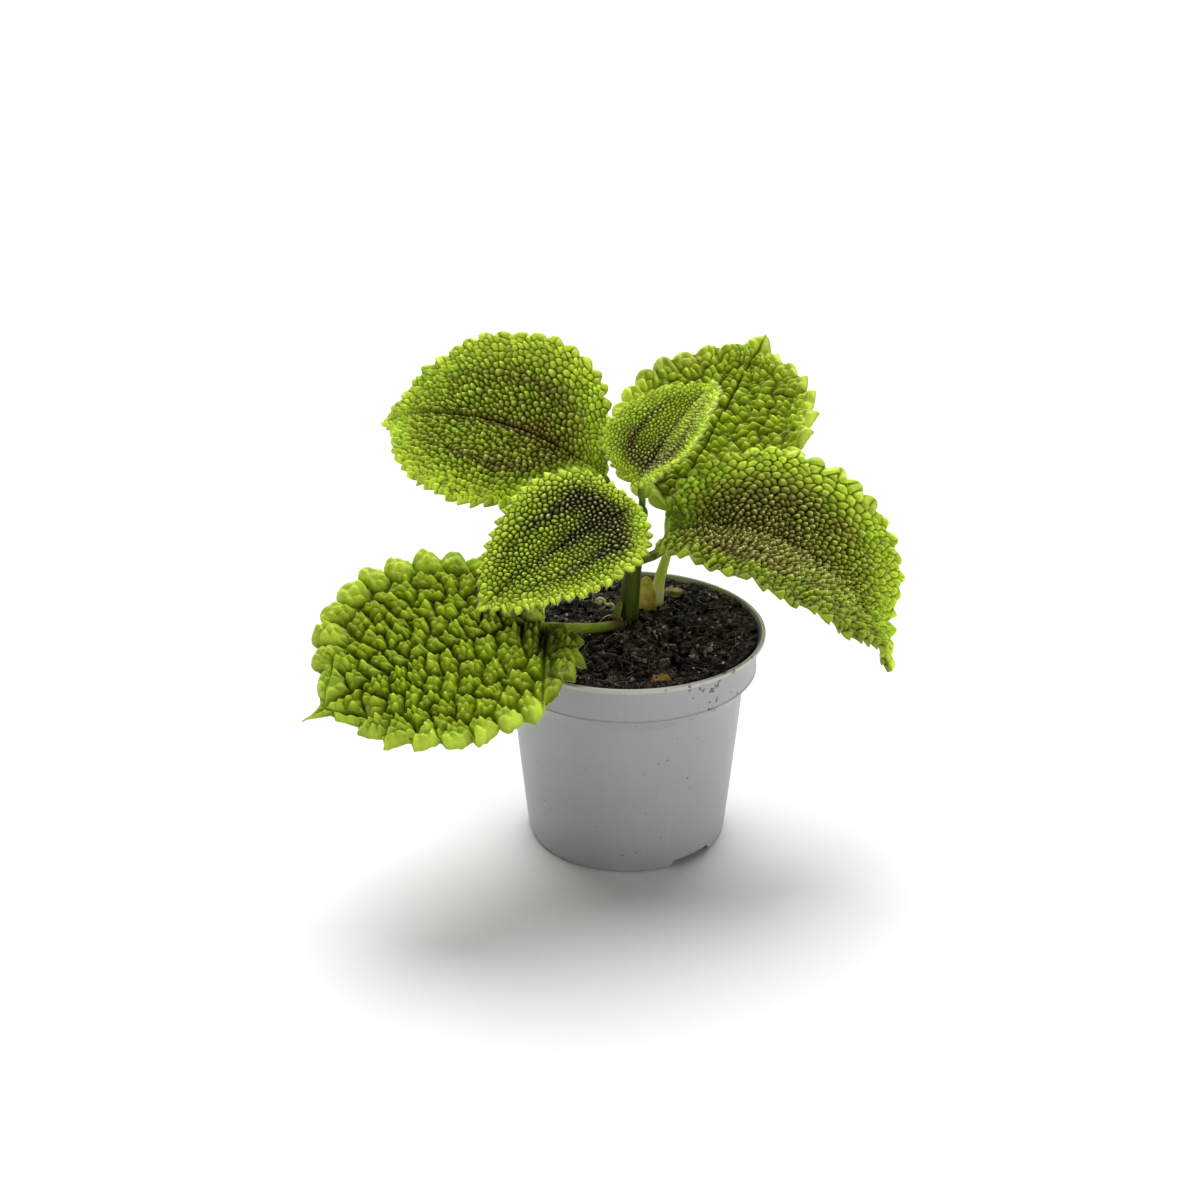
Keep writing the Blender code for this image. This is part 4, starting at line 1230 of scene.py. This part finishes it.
@dataclass
class NurseryPot:
    """The moulded pot: foot, tapered body, shoulder, collar and a thin grooved lip."""

    base_radius: float = 22.2
    foot_round: float = 0.9
    body: Section = ((23.4, 13.0), (24.55, 25.5), (25.45, 36.3), (25.58, 37.0), (25.85, 37.6))
    shoulder: Section = ((26.35, 38.2), (27.3, 39.4), (27.9, 40.2), (28.22, 40.40), (28.24, 40.62),
                         (28.1, 40.8))
    collar: Section = ((28.22, 43.5), (28.42, 46.4), (28.5, 47.3), (28.62, 47.66))
    lip: Section = ((29.35, 47.86), (29.7, 47.94), (29.93, 48.12), (30.0, 48.45), (29.92, 48.8),
                    (29.7, 48.96))
    groove: Section = ((29.62, 49.0), (29.52, 48.94), (29.42, 48.99), (29.25, 48.98), (29.12, 48.86),
                       (29.0, 48.5))
    inside: Section = ((28.3, 47.6), (28.05, 46.5), (27.75, 42.0), (27.5, 40.9), (26.0, 38.9),
                       (24.9, 37.4), (21.4, 1.9), (20.7, 1.0))
    sides: int = 144
    slots: tuple[int, ...] = (-50, -170, -290)
    slot_start: float = 16.5
    slot_run: float = 8.0
    slot_halves: Spot = (4.9, 6.2)
    slot_levels: Spot = (1.9, -1.0)

    def profile(self) -> list[Spot]:
        """The section as (radius, height), up the outside and down the inside."""
        curve = self.foot_round
        foot = [(self.base_radius - curve + curve * math.sin(turn), curve - curve * math.cos(turn))
                for turn in np.radians((0, 22, 45, 68, 90))]
        return [*foot, *self.body, *self.shoulder, *self.collar, *self.lip, *self.groove, *self.inside]

    def turned(self) -> Piece:
        """Start from a filled circle and extrude it ring by ring along the section."""
        section = self.profile()
        radius, height = section[0]
        pot = Workbench.add("moulded_pot", bpy.ops.mesh.primitive_circle_add, vertices=self.sides,
                            radius=radius * MM, fill_type="NGON", location=(0, 0, height * MM))
        bpy.ops.object.transform_apply(location=True)
        close = (bpy.ops.mesh.inset, {"thickness": 6 * MM})
        Workbench.edit(pot, *Workbench.rings(section), close, SELECT_ALL, FACE_OUT)
        return pot

    def cut_slots(self, pot: Piece) -> None:
        """Cut the drain slots with bevelled, slant-ended blocks."""
        for angle in self.slots:
            block = Workbench.add("slot_block", bpy.ops.mesh.primitive_cube_add, size=1)
            rows = Workbench.points(block) * MM
            upper = rows[:, 2] > 0
            depth = self.slot_start + (rows[:, 0] + 0.5) * self.slot_run
            wide = rows[:, 1] * 2 * np.where(upper, *self.slot_halves)
            places = Workbench.turned(depth, wide, angle)
            Workbench.move(block, np.stack([*places, np.where(upper, *self.slot_levels)], -1))
            Workbench.modify(block, "BEVEL", width=0.45 * MM, segments=3, limit_method="ANGLE",
                             angle_limit=math.radians(50))
            Workbench.modify(pot, "BOOLEAN", operation="DIFFERENCE", solver="EXACT", object=block)
            bpy.data.objects.remove(block, do_unlink=True)

    def build(self) -> Piece:
        """Turn the pot, cut its slots and round the cut edges by shading."""
        pot = self.turned()
        self.cut_slots(pot)
        return Workbench.hand_in(pot, "plastic_grey", PotFinish().material(), "pot", sharp=30.0)


@dataclass
class PeatBed:
    """The soil: a crumbly disc with a plain skirt inside the pot."""

    radius: float = 28.35
    top: float = 46.9
    mound: float = 0.3
    foot: Spot = (0.2, 5.0)
    squares: int = 216
    clods: int = 1500
    hollow: float = -0.9
    drop: float = 0.6
    heap_spread: float = 80.0
    wall_from: float = 21.0
    wall_width: float = 6.5
    wall_rise: float = 1.5
    skirt: Section = ((27.9, 45.5), (27.5, 41.8), (25.8, 39.0), (24.5, 37.2), (21.1, 2.2), (20.2, 1.3))
    seed: int = 21

    def __post_init__(self) -> None:
        """Scatter the clods that make the relief."""
        dice = np.random.default_rng(self.seed)
        self.spots = Workbench.on_disc(self.clods, self.radius, dice)
        self.sizes = dice.gamma(3.0, 0.25, self.clods) + 0.35
        self.levels = dice.uniform(-0.5, 0.45, self.clods)

    def surface(self, places: Array) -> tuple[Array, Array]:
        """Heights of the soil at places, and how far each stands out as a crumb."""
        relief = np.full(len(places), self.hollow)
        for part in Workbench.parts(len(places)):
            gap = np.sqrt(Workbench.apart(places[part], self.spots)) / self.sizes
            dome = np.sqrt(np.clip(1 - gap**2, 0, 1)) * self.sizes * 0.62 + self.levels
            relief[part] = np.where(gap < 1, dome, self.hollow).max(1)
        fine = np.array([noise.fractal((x * 1.1, y * 1.1, 0.3), 0.9, 2.1, 4) for x, y in places])
        heap = self.mound * np.exp(-((places - self.foot) ** 2).sum(-1) / self.heap_spread)
        wall = np.clip((np.hypot(*places.T) - self.wall_from) / self.wall_width, 0, 1)
        height = self.top + heap + relief * (1.1 - 0.7 * wall) + fine * 0.25 + self.wall_rise * wall
        return height, np.clip((relief - self.hollow) / 1.9, 0, 1)

    def build(self) -> Piece:
        """Wrap a square grid onto the disc, raise the crumbs, then extrude the rim down as a skirt."""
        bed, grid = Workbench.grid("peat_bed", self.squares, self.squares)
        x, y = np.clip(grid[:, :2], -1, 1).T
        disc = np.stack([x * np.sqrt(1 - y**2 / 2), y * np.sqrt(1 - x**2 / 2)], -1) * self.radius
        height, crumb = self.surface(disc)
        Workbench.move(bed, np.column_stack([disc, height]))
        Workbench.paint(bed, crumb=crumb)
        rings = Workbench.rings([(self.radius, self.top + self.drop), *self.skirt])
        Workbench.edit(bed, SELECT_EDGES, SELECT_NONE, SELECT_OPEN, *rings, FILL, SELECT_ALL, FACE_OUT)
        return Workbench.hand_in(bed, "peat", PeatFinish().material(), "soil", sharp=60.0)


@dataclass
class SoilLitter:
    """What lies on the peat: loose crumbs, pale grains and fibres."""

    bed: PeatBed
    crumbs: int = 420
    grains: int = 90
    fibres: int = 300
    fibre_sizes: tuple[Spot, ...] = ((0.05, 0.11), (0.04, 0.09), (1.2, 4.6))
    bow: float = 3.5
    reach: float = 26.3
    seed: int = 5

    def scatter(self, count: int, reach: float, dice: Dice, lift: float) -> Array:
        """Random places on the soil's surface."""
        flat = Workbench.on_disc(count, reach, dice)
        return np.column_stack([flat, self.bed.surface(flat)[0] + lift])

    def pebble(self) -> Piece:
        """A faceted grain of unit size."""
        grain = Workbench.add("grain", bpy.ops.mesh.primitive_ico_sphere_add, subdivisions=1, radius=1)
        rows = Workbench.points(grain)
        wobble = np.array([1 + 0.3 * noise.noise(tuple(row)) for row in rows * 0.0017])
        Workbench.move(grain, rows * wobble[:, None])
        return grain

    def build(self) -> None:
        """Lay the crumbs, the grains and the fibres."""
        dice = np.random.default_rng(self.seed)
        brown = PlainGrowth("crumb_brown", (0.050, 0.036, 0.024), (0.004, 0.003, 0.002), 0.7)
        tan = PlainGrowth("flake_tan", (0.430, 0.375, 0.300), (0.045, 0.032, 0.022), 0.7)
        white = PlainGrowth("grain_white", (0.88, 0.86, 0.80), (0.46, 0.40, 0.32), 0.7)
        lots = (("peat_crumbs", self.crumbs, 0.2, 0.8, 0.0, brown),
                ("peat_flakes", self.grains * 3, 0.15, 0.80, 0.15, tan),
                ("pale_grains", self.grains, 0.12, 0.40, 0.18, white))
        for name, count, small, large, lift, finish in lots:
            places = self.scatter(count, self.reach, dice, lift)
            spread = small + (large - small) * dice.uniform(0, 1, count) ** 1.6
            sizes = spread[:, None] * dice.uniform(0.25, 1.4, (count, 3))
            turns = tumbled(count, dice)
            lot = Workbench.copies(name, self.pebble(), places, turns, sizes, dice.uniform(0, 1, count))
            Workbench.hand_in(lot, "peat", finish.material(), sharp=25.0)
        self.lay_fibres(dice)

    def lay_fibres(self, dice: Dice) -> None:
        """Lay bent fibres, copied from one rod that is cut twice across and bowed."""
        count = self.fibres
        fibre = Workbench.add("fibre", bpy.ops.mesh.primitive_cylinder_add, vertices=3, radius=1, depth=1,
                              end_fill_type="TRIFAN")
        upper, lower = ((bpy.ops.mesh.bisect, {"plane_co": (0, 0, height), "plane_no": (0, 0, 1)})
                        for height in (0.2, -0.2))
        Workbench.edit(fibre, upper, SELECT_ALL, lower)
        rows = Workbench.points(fibre)
        rows[:, 0] += (0.25 - (rows[:, 2] * MM) ** 2) * self.bow / MM
        Workbench.move(fibre, rows)
        places = self.scatter(count, 25.8, dice, 0.2)
        flatways = np.stack([*dice.normal(size=(2, count)), dice.normal(0, 0.18, count)], -1)
        sizes = np.stack([dice.uniform(*span, count) for span in self.fibre_sizes], -1)
        lot = Workbench.copies("peat_fibres", fibre, places, aimed(flatways), sizes,
                               dice.uniform(0, 1, count) ** 0.6)
        finish = PlainGrowth("fibre_tan", (0.46, 0.37, 0.25), (0.050, 0.032, 0.018), 0.8)
        Workbench.hand_in(lot, "peat", finish.material())


@dataclass
class BarkChip:
    """A rough flake of bark on the soil."""

    node: str
    place: tuple[float, float]
    size: Point
    turn: float
    finish: PlainGrowth
    seat: float = 47.6

    def build(self) -> Piece:
        """Subdivide a block, break up its faces by noise and round its corners."""
        name = self.node.replace("bark_chip", "bark_flake")
        chip = Workbench.add(name, bpy.ops.mesh.primitive_cube_add, size=1)
        Workbench.edit(chip, (bpy.ops.mesh.subdivide, {"number_cuts": 11, "smoothness": 0.0}))
        rows = Workbench.points(chip) * MM
        inward = 1 - 0.16 * (np.abs(rows * 2) ** 4).sum(1) / 3
        rows = rows * inward[:, None] * self.size
        seed = self.place[0]
        push = np.array([[noise.noise(Vector(row) * 0.9 + Vector((seed, k * 7.0, 0))) for k in range(3)]
                         for row in rows])
        ridges = np.array([noise.noise(Vector((row[0] * 0.5, row[1] * 3.2, seed))) for row in rows])
        rows = rows + push * (0.55, 0.5, 0.3)
        rows[:, 2] += 0.22 * ridges * (rows[:, 2] > 0)
        x, y = Workbench.turned(rows[:, 0], rows[:, 1], self.turn)
        height = rows[:, 2] + self.seat + self.size[2] / 2
        Workbench.move(chip, np.stack([x + self.place[0], y + self.place[1], height], -1))
        Workbench.paint(chip, tint=np.clip(0.5 + ridges, 0, 1))
        return Workbench.hand_in(chip, "bark", self.finish.material(), self.node, sharp=40.0)


@dataclass
class DryTongue:
    """A dry stipule: a thin, cupped tongue with a rounded point."""

    name: str
    foot: Point
    top: float
    width: float
    lean: float
    finish: Material
    slot: str = "dry_sheath"
    nodes: tuple[str, ...] = ()
    facing: float = 0.0

    def build(self) -> Piece:
        """Shape a grid into the tongue, give it thickness and subdivide it."""
        tongue, grid = Workbench.grid(self.name, 14, 22)
        rise = (grid[:, 1] + 1) / 2
        half = self.width / 2 * np.sqrt(np.clip(1 - np.clip((rise - 0.45) / 0.56, 0, 1) ** 2.2, 0.004, 1))
        across = grid[:, 0] * half * (0.85 + 0.15 * rise)
        cup = 0.45 * grid[:, 0] ** 2 * self.width / 2 * (1 - 0.4 * rise)
        back = cup + 0.5 * np.sin(rise * 2.4)
        crinkle = np.array([0.12 * noise.noise((out * 1.3, up * 4.0, self.foot[0]))
                            for out, up in zip(across, rise)])
        x, y = Workbench.turned(across, back + crinkle, self.facing)
        places = [x + self.lean * rise**1.5, -y, rise * (self.top - self.foot[2])]
        Workbench.move(tongue, np.stack(places, -1) + self.foot)
        Workbench.paint(tongue, along=rise, tint=0.3 + 0.4 * np.abs(grid[:, 0]))
        Workbench.modify(tongue, "SOLIDIFY", thickness=0.28 * MM, offset=0.0)
        Workbench.modify(tongue, "SUBSURF", levels=1, render_levels=1)
        return Workbench.hand_in(tongue, self.slot, self.finish, *self.nodes)


@dataclass
class Wisp:
    """A thin strand near the stem, such as a curled hair root."""

    name: str
    path: tuple[Point, ...]
    radii: tuple[float, ...]
    finish: Material
    slot: str = "dry_sheath"

    def build(self) -> Piece:
        """Draw the strand as one rod."""
        strand = Workbench.rod(self.name, self.path, self.radii, sides=1)
        Workbench.paint(strand, tint=0.3, ridge=0.0)
        return Workbench.hand_in(strand, self.slot, self.finish)


@dataclass
class Studio:
    """Plain pale floor, soft light and the camera at the picture's angle."""

    lens: float = 54.0
    camera_at: Point = (-5.99, -352.16, 219.37)
    camera_tilt: float = 65.02
    key_from: Point = (-0.04, 0.58, 1.0)
    key_light: float = 4.3
    key_spread: float = 60.0
    left_light: float = 2.0
    right_light: float = 4.5
    sky: Section = ((0.0, 1.0), (0.05, 1.0), (0.10, 0.06), (0.6, 0.06), (1.0, 0.2))

    def build_floor(self) -> None:
        """Lay a wide white floor."""
        floor = Workbench.add("studio_floor", bpy.ops.mesh.primitive_plane_add, size=12)
        recipe = Recipe("white_paper")
        grain = recipe.noise(8.0, 2.0)
        colour = recipe.mix(recipe.between(grain, 0.3, 0.7), (0.90, 0.90, 0.90), (0.91, 0.91, 0.91))
        floor.data.materials.append(recipe.finish(colour, 0.9))

    def build_lights(self) -> None:
        """Light it softly from above and behind, with a low fill at each side."""
        key = Workbench.add("overhead_softbox", bpy.ops.object.light_add, type="SUN",
                            location=(0, 0.3, 0.6))
        key.data.energy = self.key_light
        key.data.angle = math.radians(self.key_spread)
        key.rotation_euler = Vector(self.key_from).to_track_quat("Z", "Y").to_euler()
        fills = (("left_fill", -1, self.left_light), ("right_fill", 1, self.right_light))
        for name, side, strength in fills:
            place = Vector((0.85 * side, -0.5, 0.12))
            fill = Workbench.add(name, bpy.ops.object.light_add, type="AREA", location=place)
            fill.data.shape = "DISK"
            fill.data.size = 0.5
            fill.data.energy = strength
            fill.rotation_euler = (place - Vector((0, 0, 0.05))).to_track_quat("Z", "Y").to_euler()

    def build_camera(self) -> None:
        """Set the camera where the picture was taken from."""
        camera = Workbench.add("picture_camera", bpy.ops.object.camera_add,
                               location=Vector(self.camera_at) * MM,
                               rotation=(math.radians(self.camera_tilt), 0, 0))
        camera.data.lens = self.lens
        camera.data.sensor_width = 36.0
        camera.data.clip_start = 0.01
        bpy.context.scene.camera = camera

    def build(self) -> None:
        """Set the whole studio up."""
        self.build_camera()
        self.build_floor()
        self.build_lights()
        self.build_sky()
        bpy.context.scene.view_settings.view_transform = "Standard"
        bpy.context.scene.view_settings.look = "None"

    def build_sky(self) -> None:
        """Surround it by a white cove that is darker overhead."""
        world = bpy.context.scene.world or bpy.data.worlds.new("studio")
        bpy.context.scene.world = world
        world.use_nodes = True
        nodes, links = world.node_tree.nodes, world.node_tree.links
        where = nodes.new("ShaderNodeTexCoord")
        split = nodes.new("ShaderNodeSeparateXYZ")
        shade = nodes.new("ShaderNodeValToRGB")
        Recipe.set_stops(shade.color_ramp, [(place, (light, light, light)) for place, light in self.sky])
        links.new(where.outputs["Generated"], split.inputs[0])
        links.new(split.outputs["Z"], shade.inputs["Fac"])
        links.new(shade.outputs["Color"], nodes["Background"].inputs["Color"])
        nodes["Background"].inputs["Strength"].default_value = 1.0


OLD_LEAF = LeafFinish("leaf_skin_old", valley=(0.028, 0.044, 0.001), crest=(0.660, 0.780, 0.270),
                      dark_valley=(0.024, 0.011, 0.002), dark_flank=(0.110, 0.100, 0.010),
                      margin=(0.48, 0.62, 0.05))
REAR_LEAF = LeafFinish("leaf_skin_rear", valley=(0.045, 0.066, 0.002), flank=(0.330, 0.430, 0.012),
                       crown=(0.640, 0.780, 0.070), crest=(0.860, 0.960, 0.420),
                       dark_valley=(0.060, 0.022, 0.006), dark_flank=(0.200, 0.150, 0.030),
                       dark_crown=(0.30, 0.30, 0.05), dark_crest=(0.460, 0.500, 0.120),
                       margin=(0.60, 0.72, 0.07))
YOUNG_LEAF = LeafFinish("leaf_skin_young")
TOP_LEAF = LeafFinish("leaf_skin_top", valley=(0.022, 0.036, 0.001), dark_valley=(0.007, 0.006, 0.001),
                      dark_flank=(0.045, 0.042, 0.005), dark_crown=(0.160, 0.175, 0.040),
                      dark_crest=(0.520, 0.560, 0.280))
TIP_LEAF = LeafFinish("leaf_skin_tip", valley=(0.065, 0.105, 0.001), flank=(0.260, 0.370, 0.006),
                      dark_valley=(0.016, 0.007, 0.002), dark_flank=(0.085, 0.062, 0.008),
                      dark_crown=(0.260, 0.260, 0.070), dark_crest=(0.560, 0.600, 0.320))


@dataclass
class Shoot:
    """The plant above the soil: six blades on their petioles, their down, and the stem."""

    hair_lengths: tuple[float, ...] = (0.45, 0.4, 0.5, 0.5, 0.75, 0.7)
    hair_shares: tuple[float, ...] = (1, 1, 1, 1, 1.5, 1.5)

    def blades(self) -> list[LeafBlade]:
        """The six blades, from the oldest pair to the youngest."""
        pointed, rounded = Tooth.POINTED, Tooth.ROUNDED
        return [
            LeafBlade(
                "leaf_lower_left", OLD_LEAF, "leaf_old",
                Bend((-17.6, -12.0, 55.6), azimuth=211, pitch=0, droop=17,
                     roll=-22, length=56, width=52.5, fold=-1, curl_left=-17, curl_right=-4,
                     ovate=0.06, lobe=0.11, drip=0.10),
                teeth=14, tooth_depth=2.3,
                quilt=Quilt(spacing=1.95, height=4.4, point=0.75, reach=1.0,
                            stretch=1.2, coarser=1.0, lowest=0.35,
                            group_spacing=4.5, group_share=0.45, plain=(1.1, 3.7),
                            furrow=0.3, lean=(0.08, -0.16), fold=3.0, lime=(0.32, 0.7)),
                # Partly painted shade: the strong browning at the base also stands for shade under the
                # top-left leaf and the fold.
                bronze=Bronze(base=0.9, reach=0.15, veins=0.25, vein_width=1.0, middle=0.04, margin=2.0),
                left_teeth=pointed, right_teeth=rounded, ruffle=0.5,
                tip_pinch=0.95, pinch_reach=0.45, seed=3),
            LeafBlade(
                "leaf_lower_right", REAR_LEAF, "leaf_old",
                Bend((9.3, 17.0, 69.0), azimuth=60, pitch=28, droop=-5,
                     roll=4, length=55, width=46, fold=6, curl_left=-9, curl_right=-2,
                     ovate=0.03, lobe=0.0, drip=0.10),
                teeth=13, tooth_depth=2.2,
                quilt=Quilt(spacing=2.35, height=3.0, point=0.6, reach=1.0,
                            stretch=1.1, coarser=1.1, lowest=0.5,
                            group_spacing=5.0, group_share=0.14, plain=(2.3, 2.0),
                            furrow=0.3, lean=(0.12, 0.0), lime=(0.5, 0.5)),
                bronze=Bronze(base=0.8, reach=0.16, veins=0.55, vein_width=1.0, middle=0.0, margin=2.5),
                left_teeth=rounded, right_teeth=pointed, ruffle=0.5, seed=4),
            LeafBlade(
                "leaf_upper_left", YOUNG_LEAF, "leaf_young",
                Bend((-4.7, 14.0, 78.0), azimuth=152, pitch=29, droop=52,
                     roll=-34, length=61, width=45.5, fold=8, curl_left=8, curl_right=-6,
                     ovate=0.05, lobe=-0.09, drip=0.09),
                teeth=22, tooth_depth=1.5,
                quilt=Quilt(spacing=1.3, height=1.9, point=0.45, reach=0.95,
                            stretch=1.2, coarser=1.3, lowest=0.5,
                            furrow=1.1, lean=(0.2, 0.0), lime=(1.3, 1.7)),
                bronze=Bronze(base=0.55, reach=0.36, veins=0.85, vein_width=1.7, middle=0.48, margin=5.0),
                left_teeth=pointed, right_teeth=rounded, ruffle=0.45, rows=290, columns=200, seed=5),
            LeafBlade(
                "leaf_upper_right", YOUNG_LEAF, "leaf_young",
                Bend((8.9, 1.0, 71.0), azimuth=-16, pitch=18, droop=94,
                     roll=8, length=62, width=46, fold=13, curl_left=-26, curl_right=8,
                     ovate=0.06, lobe=0.06, drip=0.14),
                teeth=23, tooth_depth=1.9,
                quilt=Quilt(spacing=1.18, height=1.85, point=0.38, reach=0.92,
                            stretch=1.0, coarser=1.7, lowest=0.42,
                            furrow=0.5, lean=(0.2, 0.0), lime=(1.6, 0.1), painted_shade_margin=0.85),
                bronze=Bronze(base=1.0, reach=0.50, veins=0.35, vein_width=3.0, middle=0.6, margin=5.0),
                left_teeth=rounded, right_teeth=pointed, ruffle=0.5,
                tip_pinch=0.25, rows=290, columns=200, seed=6),
            LeafBlade(
                "leaf_top_left", TOP_LEAF, "leaf_young",
                Bend((2.2, 1.6, 76.7), azimuth=206, pitch=-15, droop=19,
                     roll=-20, length=41.5, width=34, fold=7, curl_left=-5, curl_right=-10,
                     ovate=0.32, lobe=-0.03, drip=0.06),
                teeth=20, tooth_depth=1.5,
                quilt=Quilt(spacing=1.08, height=1.1, point=0.2, reach=0.9,
                            stretch=1.0, coarser=1.35, lowest=0.55,
                            furrow=0.5, lean=(0.1, 0.0), lime=(0.9, 0.8)),
                bronze=Bronze(base=1.2, reach=0.36, veins=0.80, vein_width=1.8, middle=0.14, margin=2.8),
                left_teeth=rounded, right_teeth=pointed, ruffle=0.3, seed=7),
            LeafBlade(
                "leaf_top_right", TIP_LEAF, "leaf_young",
                Bend((2.3, 6.6, 78.6), azimuth=52, pitch=45, droop=29,
                     roll=-7, length=32.5, width=28, fold=21, curl_left=1, curl_right=3,
                     ovate=0.32, lobe=-0.04, drip=0.06),
                teeth=20, tooth_depth=0.9,
                quilt=Quilt(spacing=0.88, height=0.8, point=0.2, reach=0.9,
                            stretch=1.0, coarser=1.3, lowest=0.6,
                            furrow=0.6, lean=(0.1, 0.0), lime=(1.2, 1.2)),
                bronze=Bronze(base=1.1, reach=0.34, veins=1.0, vein_width=0.9, middle=0.08, margin=2.3),
                left_teeth=pointed, right_teeth=rounded, ruffle=0.3, edge_roll=0.9, tip_pinch=0.3, seed=8),
        ]

    def petioles(self, blades: list[LeafBlade]) -> list[Petiole]:
        """The petiole of each blade."""
        green = StalkFinish("petiole_skin").material()
        # Partly painted light: the rear stalk's greens are far paler than the other stalks', standing for
        # light through it from behind.
        rear = StalkFinish("rear_petiole_skin", green=(0.44, 0.55, 0.06), light=(0.62, 0.74, 0.11),
                           foot=(0.74, 0.70, 0.34), foot_reach=0.15).material()
        low = StalkFinish("low_petiole_skin", green=(0.110, 0.160, 0.006), light=(0.26, 0.34, 0.04),
                          foot=(0.10, 0.07, 0.015), foot_reach=0.06, grain=(0.15, 0.15, 1.0)).material()
        lower_left, lower_right, upper_left, upper_right, top_left, top_right = blades
        return [
            Petiole(lower_left, ((-0.6, 3.4, 47.7), (-6.5, -0.9, 49.1), (-12.0, -6.3, 51.6)), low,
                    radius=1.12),
            Petiole(lower_right,
                    ((6.7, 14.7, 40.0), (6.9, 14.7, 49.5), (7.3, 15.0, 53.0), (9.2, 16.4, 60.5)),
                    rear, radius=0.95, foot_radius=1.5),
            Petiole(upper_left, ((0.6, 6.3, 62.6), (-2.8, 11.0, 67.5), (-4.4, 13.4, 74.0)), green),
            Petiole(upper_right, ((2.6, 4.8, 62.6), (6.6, 2.6, 65.4), (8.4, 1.3, 68.6)), green),
            Petiole(top_left, ((2.0, 3.6, 72.4), (1.6, 1.9, 74.8)), green, radius=0.75),
            Petiole(top_right, ((2.8, 6.6, 72.4), (3.1, 7.4, 75.4)), green, radius=0.75),
        ]

    def build(self) -> None:
        """Build the shoot from the stem outwards."""
        MainStem().build()
        blades = self.blades()
        for blade in blades:
            blade.build()
        for petiole in self.petioles(blades):
            petiole.build()
        white = PlainGrowth("white_down", (0.84, 0.88, 0.68), (0.56, 0.66, 0.32), 0.5).material()
        for blade, length, many in zip(blades, self.hair_lengths, self.hair_shares):
            LeafDown(blade, white, length, many).build()


@dataclass
class PottedPilea:
    """The pot, its soil with what lies on it, and the shoot."""

    peat: PeatBed = field(default_factory=PeatBed)

    def small_pieces(self) -> None:
        """The dry stipules and strands round the stem's foot."""
        stipule = {"roughness": 0.5, "scale": 700.0}
        straw = PlainGrowth("stipule_straw", (0.80, 0.78, 0.17), (0.42, 0.35, 0.02), glow=0.25, **stipule)
        olive = PlainGrowth("stipule_olive", (0.34, 0.36, 0.04), (0.18, 0.16, 0.02), glow=0.2, **stipule)
        cream = PlainGrowth("strand_cream", (0.86, 0.82, 0.52), (0.52, 0.46, 0.22), 0.5).material()
        rust = PlainGrowth("node_rust", (0.26, 0.12, 0.04), (0.10, 0.05, 0.02), 0.6).material()
        pieces = (
            DryTongue("straw_stipule", (4.5, 12.0, 43.6), top=55.8, width=4.7, lean=-0.3,
                      finish=straw.material(), nodes=("dry_stipule",)),
            DryTongue("olive_stipule", (-2.3, 4.0, 48.6), top=53.2, width=1.9, lean=1.0,
                      finish=olive.material(), slot="stem_green", facing=25.0),
            Wisp("curled_strand",
                 ((-2.6, 6.8, 50.0), (-3.4, 7.2, 50.9), (-4.5, 7.6, 50.7), (-5.2, 8.0, 51.6),
                  (-6.3, 8.4, 51.7), (-6.5, 8.7, 50.9), (-5.8, 8.9, 50.5)),
                 (0.26, 0.36, 0.32, 0.36, 0.38, 0.46, 0.60), cream),
            Wisp("hair_root", ((-1.0, 2.4, 47.0), (-0.6, 2.2, 48.2), (-0.2, 2.5, 49.2), (0.3, 3.0, 49.6)),
                 (0.08, 0.11, 0.1, 0.07), rust),
            Wisp("pale_hair", ((-6.2, 3.0, 48.6), (-5.2, 2.9, 49.6), (-4.2, 3.0, 50.2), (-3.4, 3.1, 50.3)),
                 (0.06, 0.09, 0.08, 0.05), cream),
            Wisp("rusty_node", ((-2.4, 3.3, 48.8), (-1.7, 3.0, 49.3), (-1.0, 3.0, 49.2)),
                 (0.3, 0.55, 0.3), rust),
        )
        for piece in pieces:
            piece.build()

    def chips(self) -> None:
        """The two bark chips."""
        orange = PlainGrowth("bark_orange", (0.36, 0.19, 0.045), (0.12, 0.055, 0.015), 0.8, 1100.0)
        tan = PlainGrowth("bark_tan", (0.42, 0.32, 0.17), (0.16, 0.11, 0.05), 0.8, 1100.0)
        BarkChip("bark_chip_front", (6.6, -23.8), (4.0, 2.8, 1.4), 12, orange).build()
        BarkChip("bark_chip_rear", (10.6, 19.4), (4.4, 2.6, 1.3), -25, tan).build()

    def build(self) -> None:
        """Build everything from the pot up."""
        NurseryPot().build()
        self.peat.build()
        SoilLitter(self.peat).build()
        self.chips()
        self.small_pieces()
        Shoot().build()


def main() -> None:
    """Build the scene."""
    logging.basicConfig(level=logging.INFO, format="%(name)s: %(message)s")
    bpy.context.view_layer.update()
    bpy.ops.object.select_all(action="DESELECT")
    Studio().build()
    PottedPilea().build()


if __name__ == "__main__":
    main()
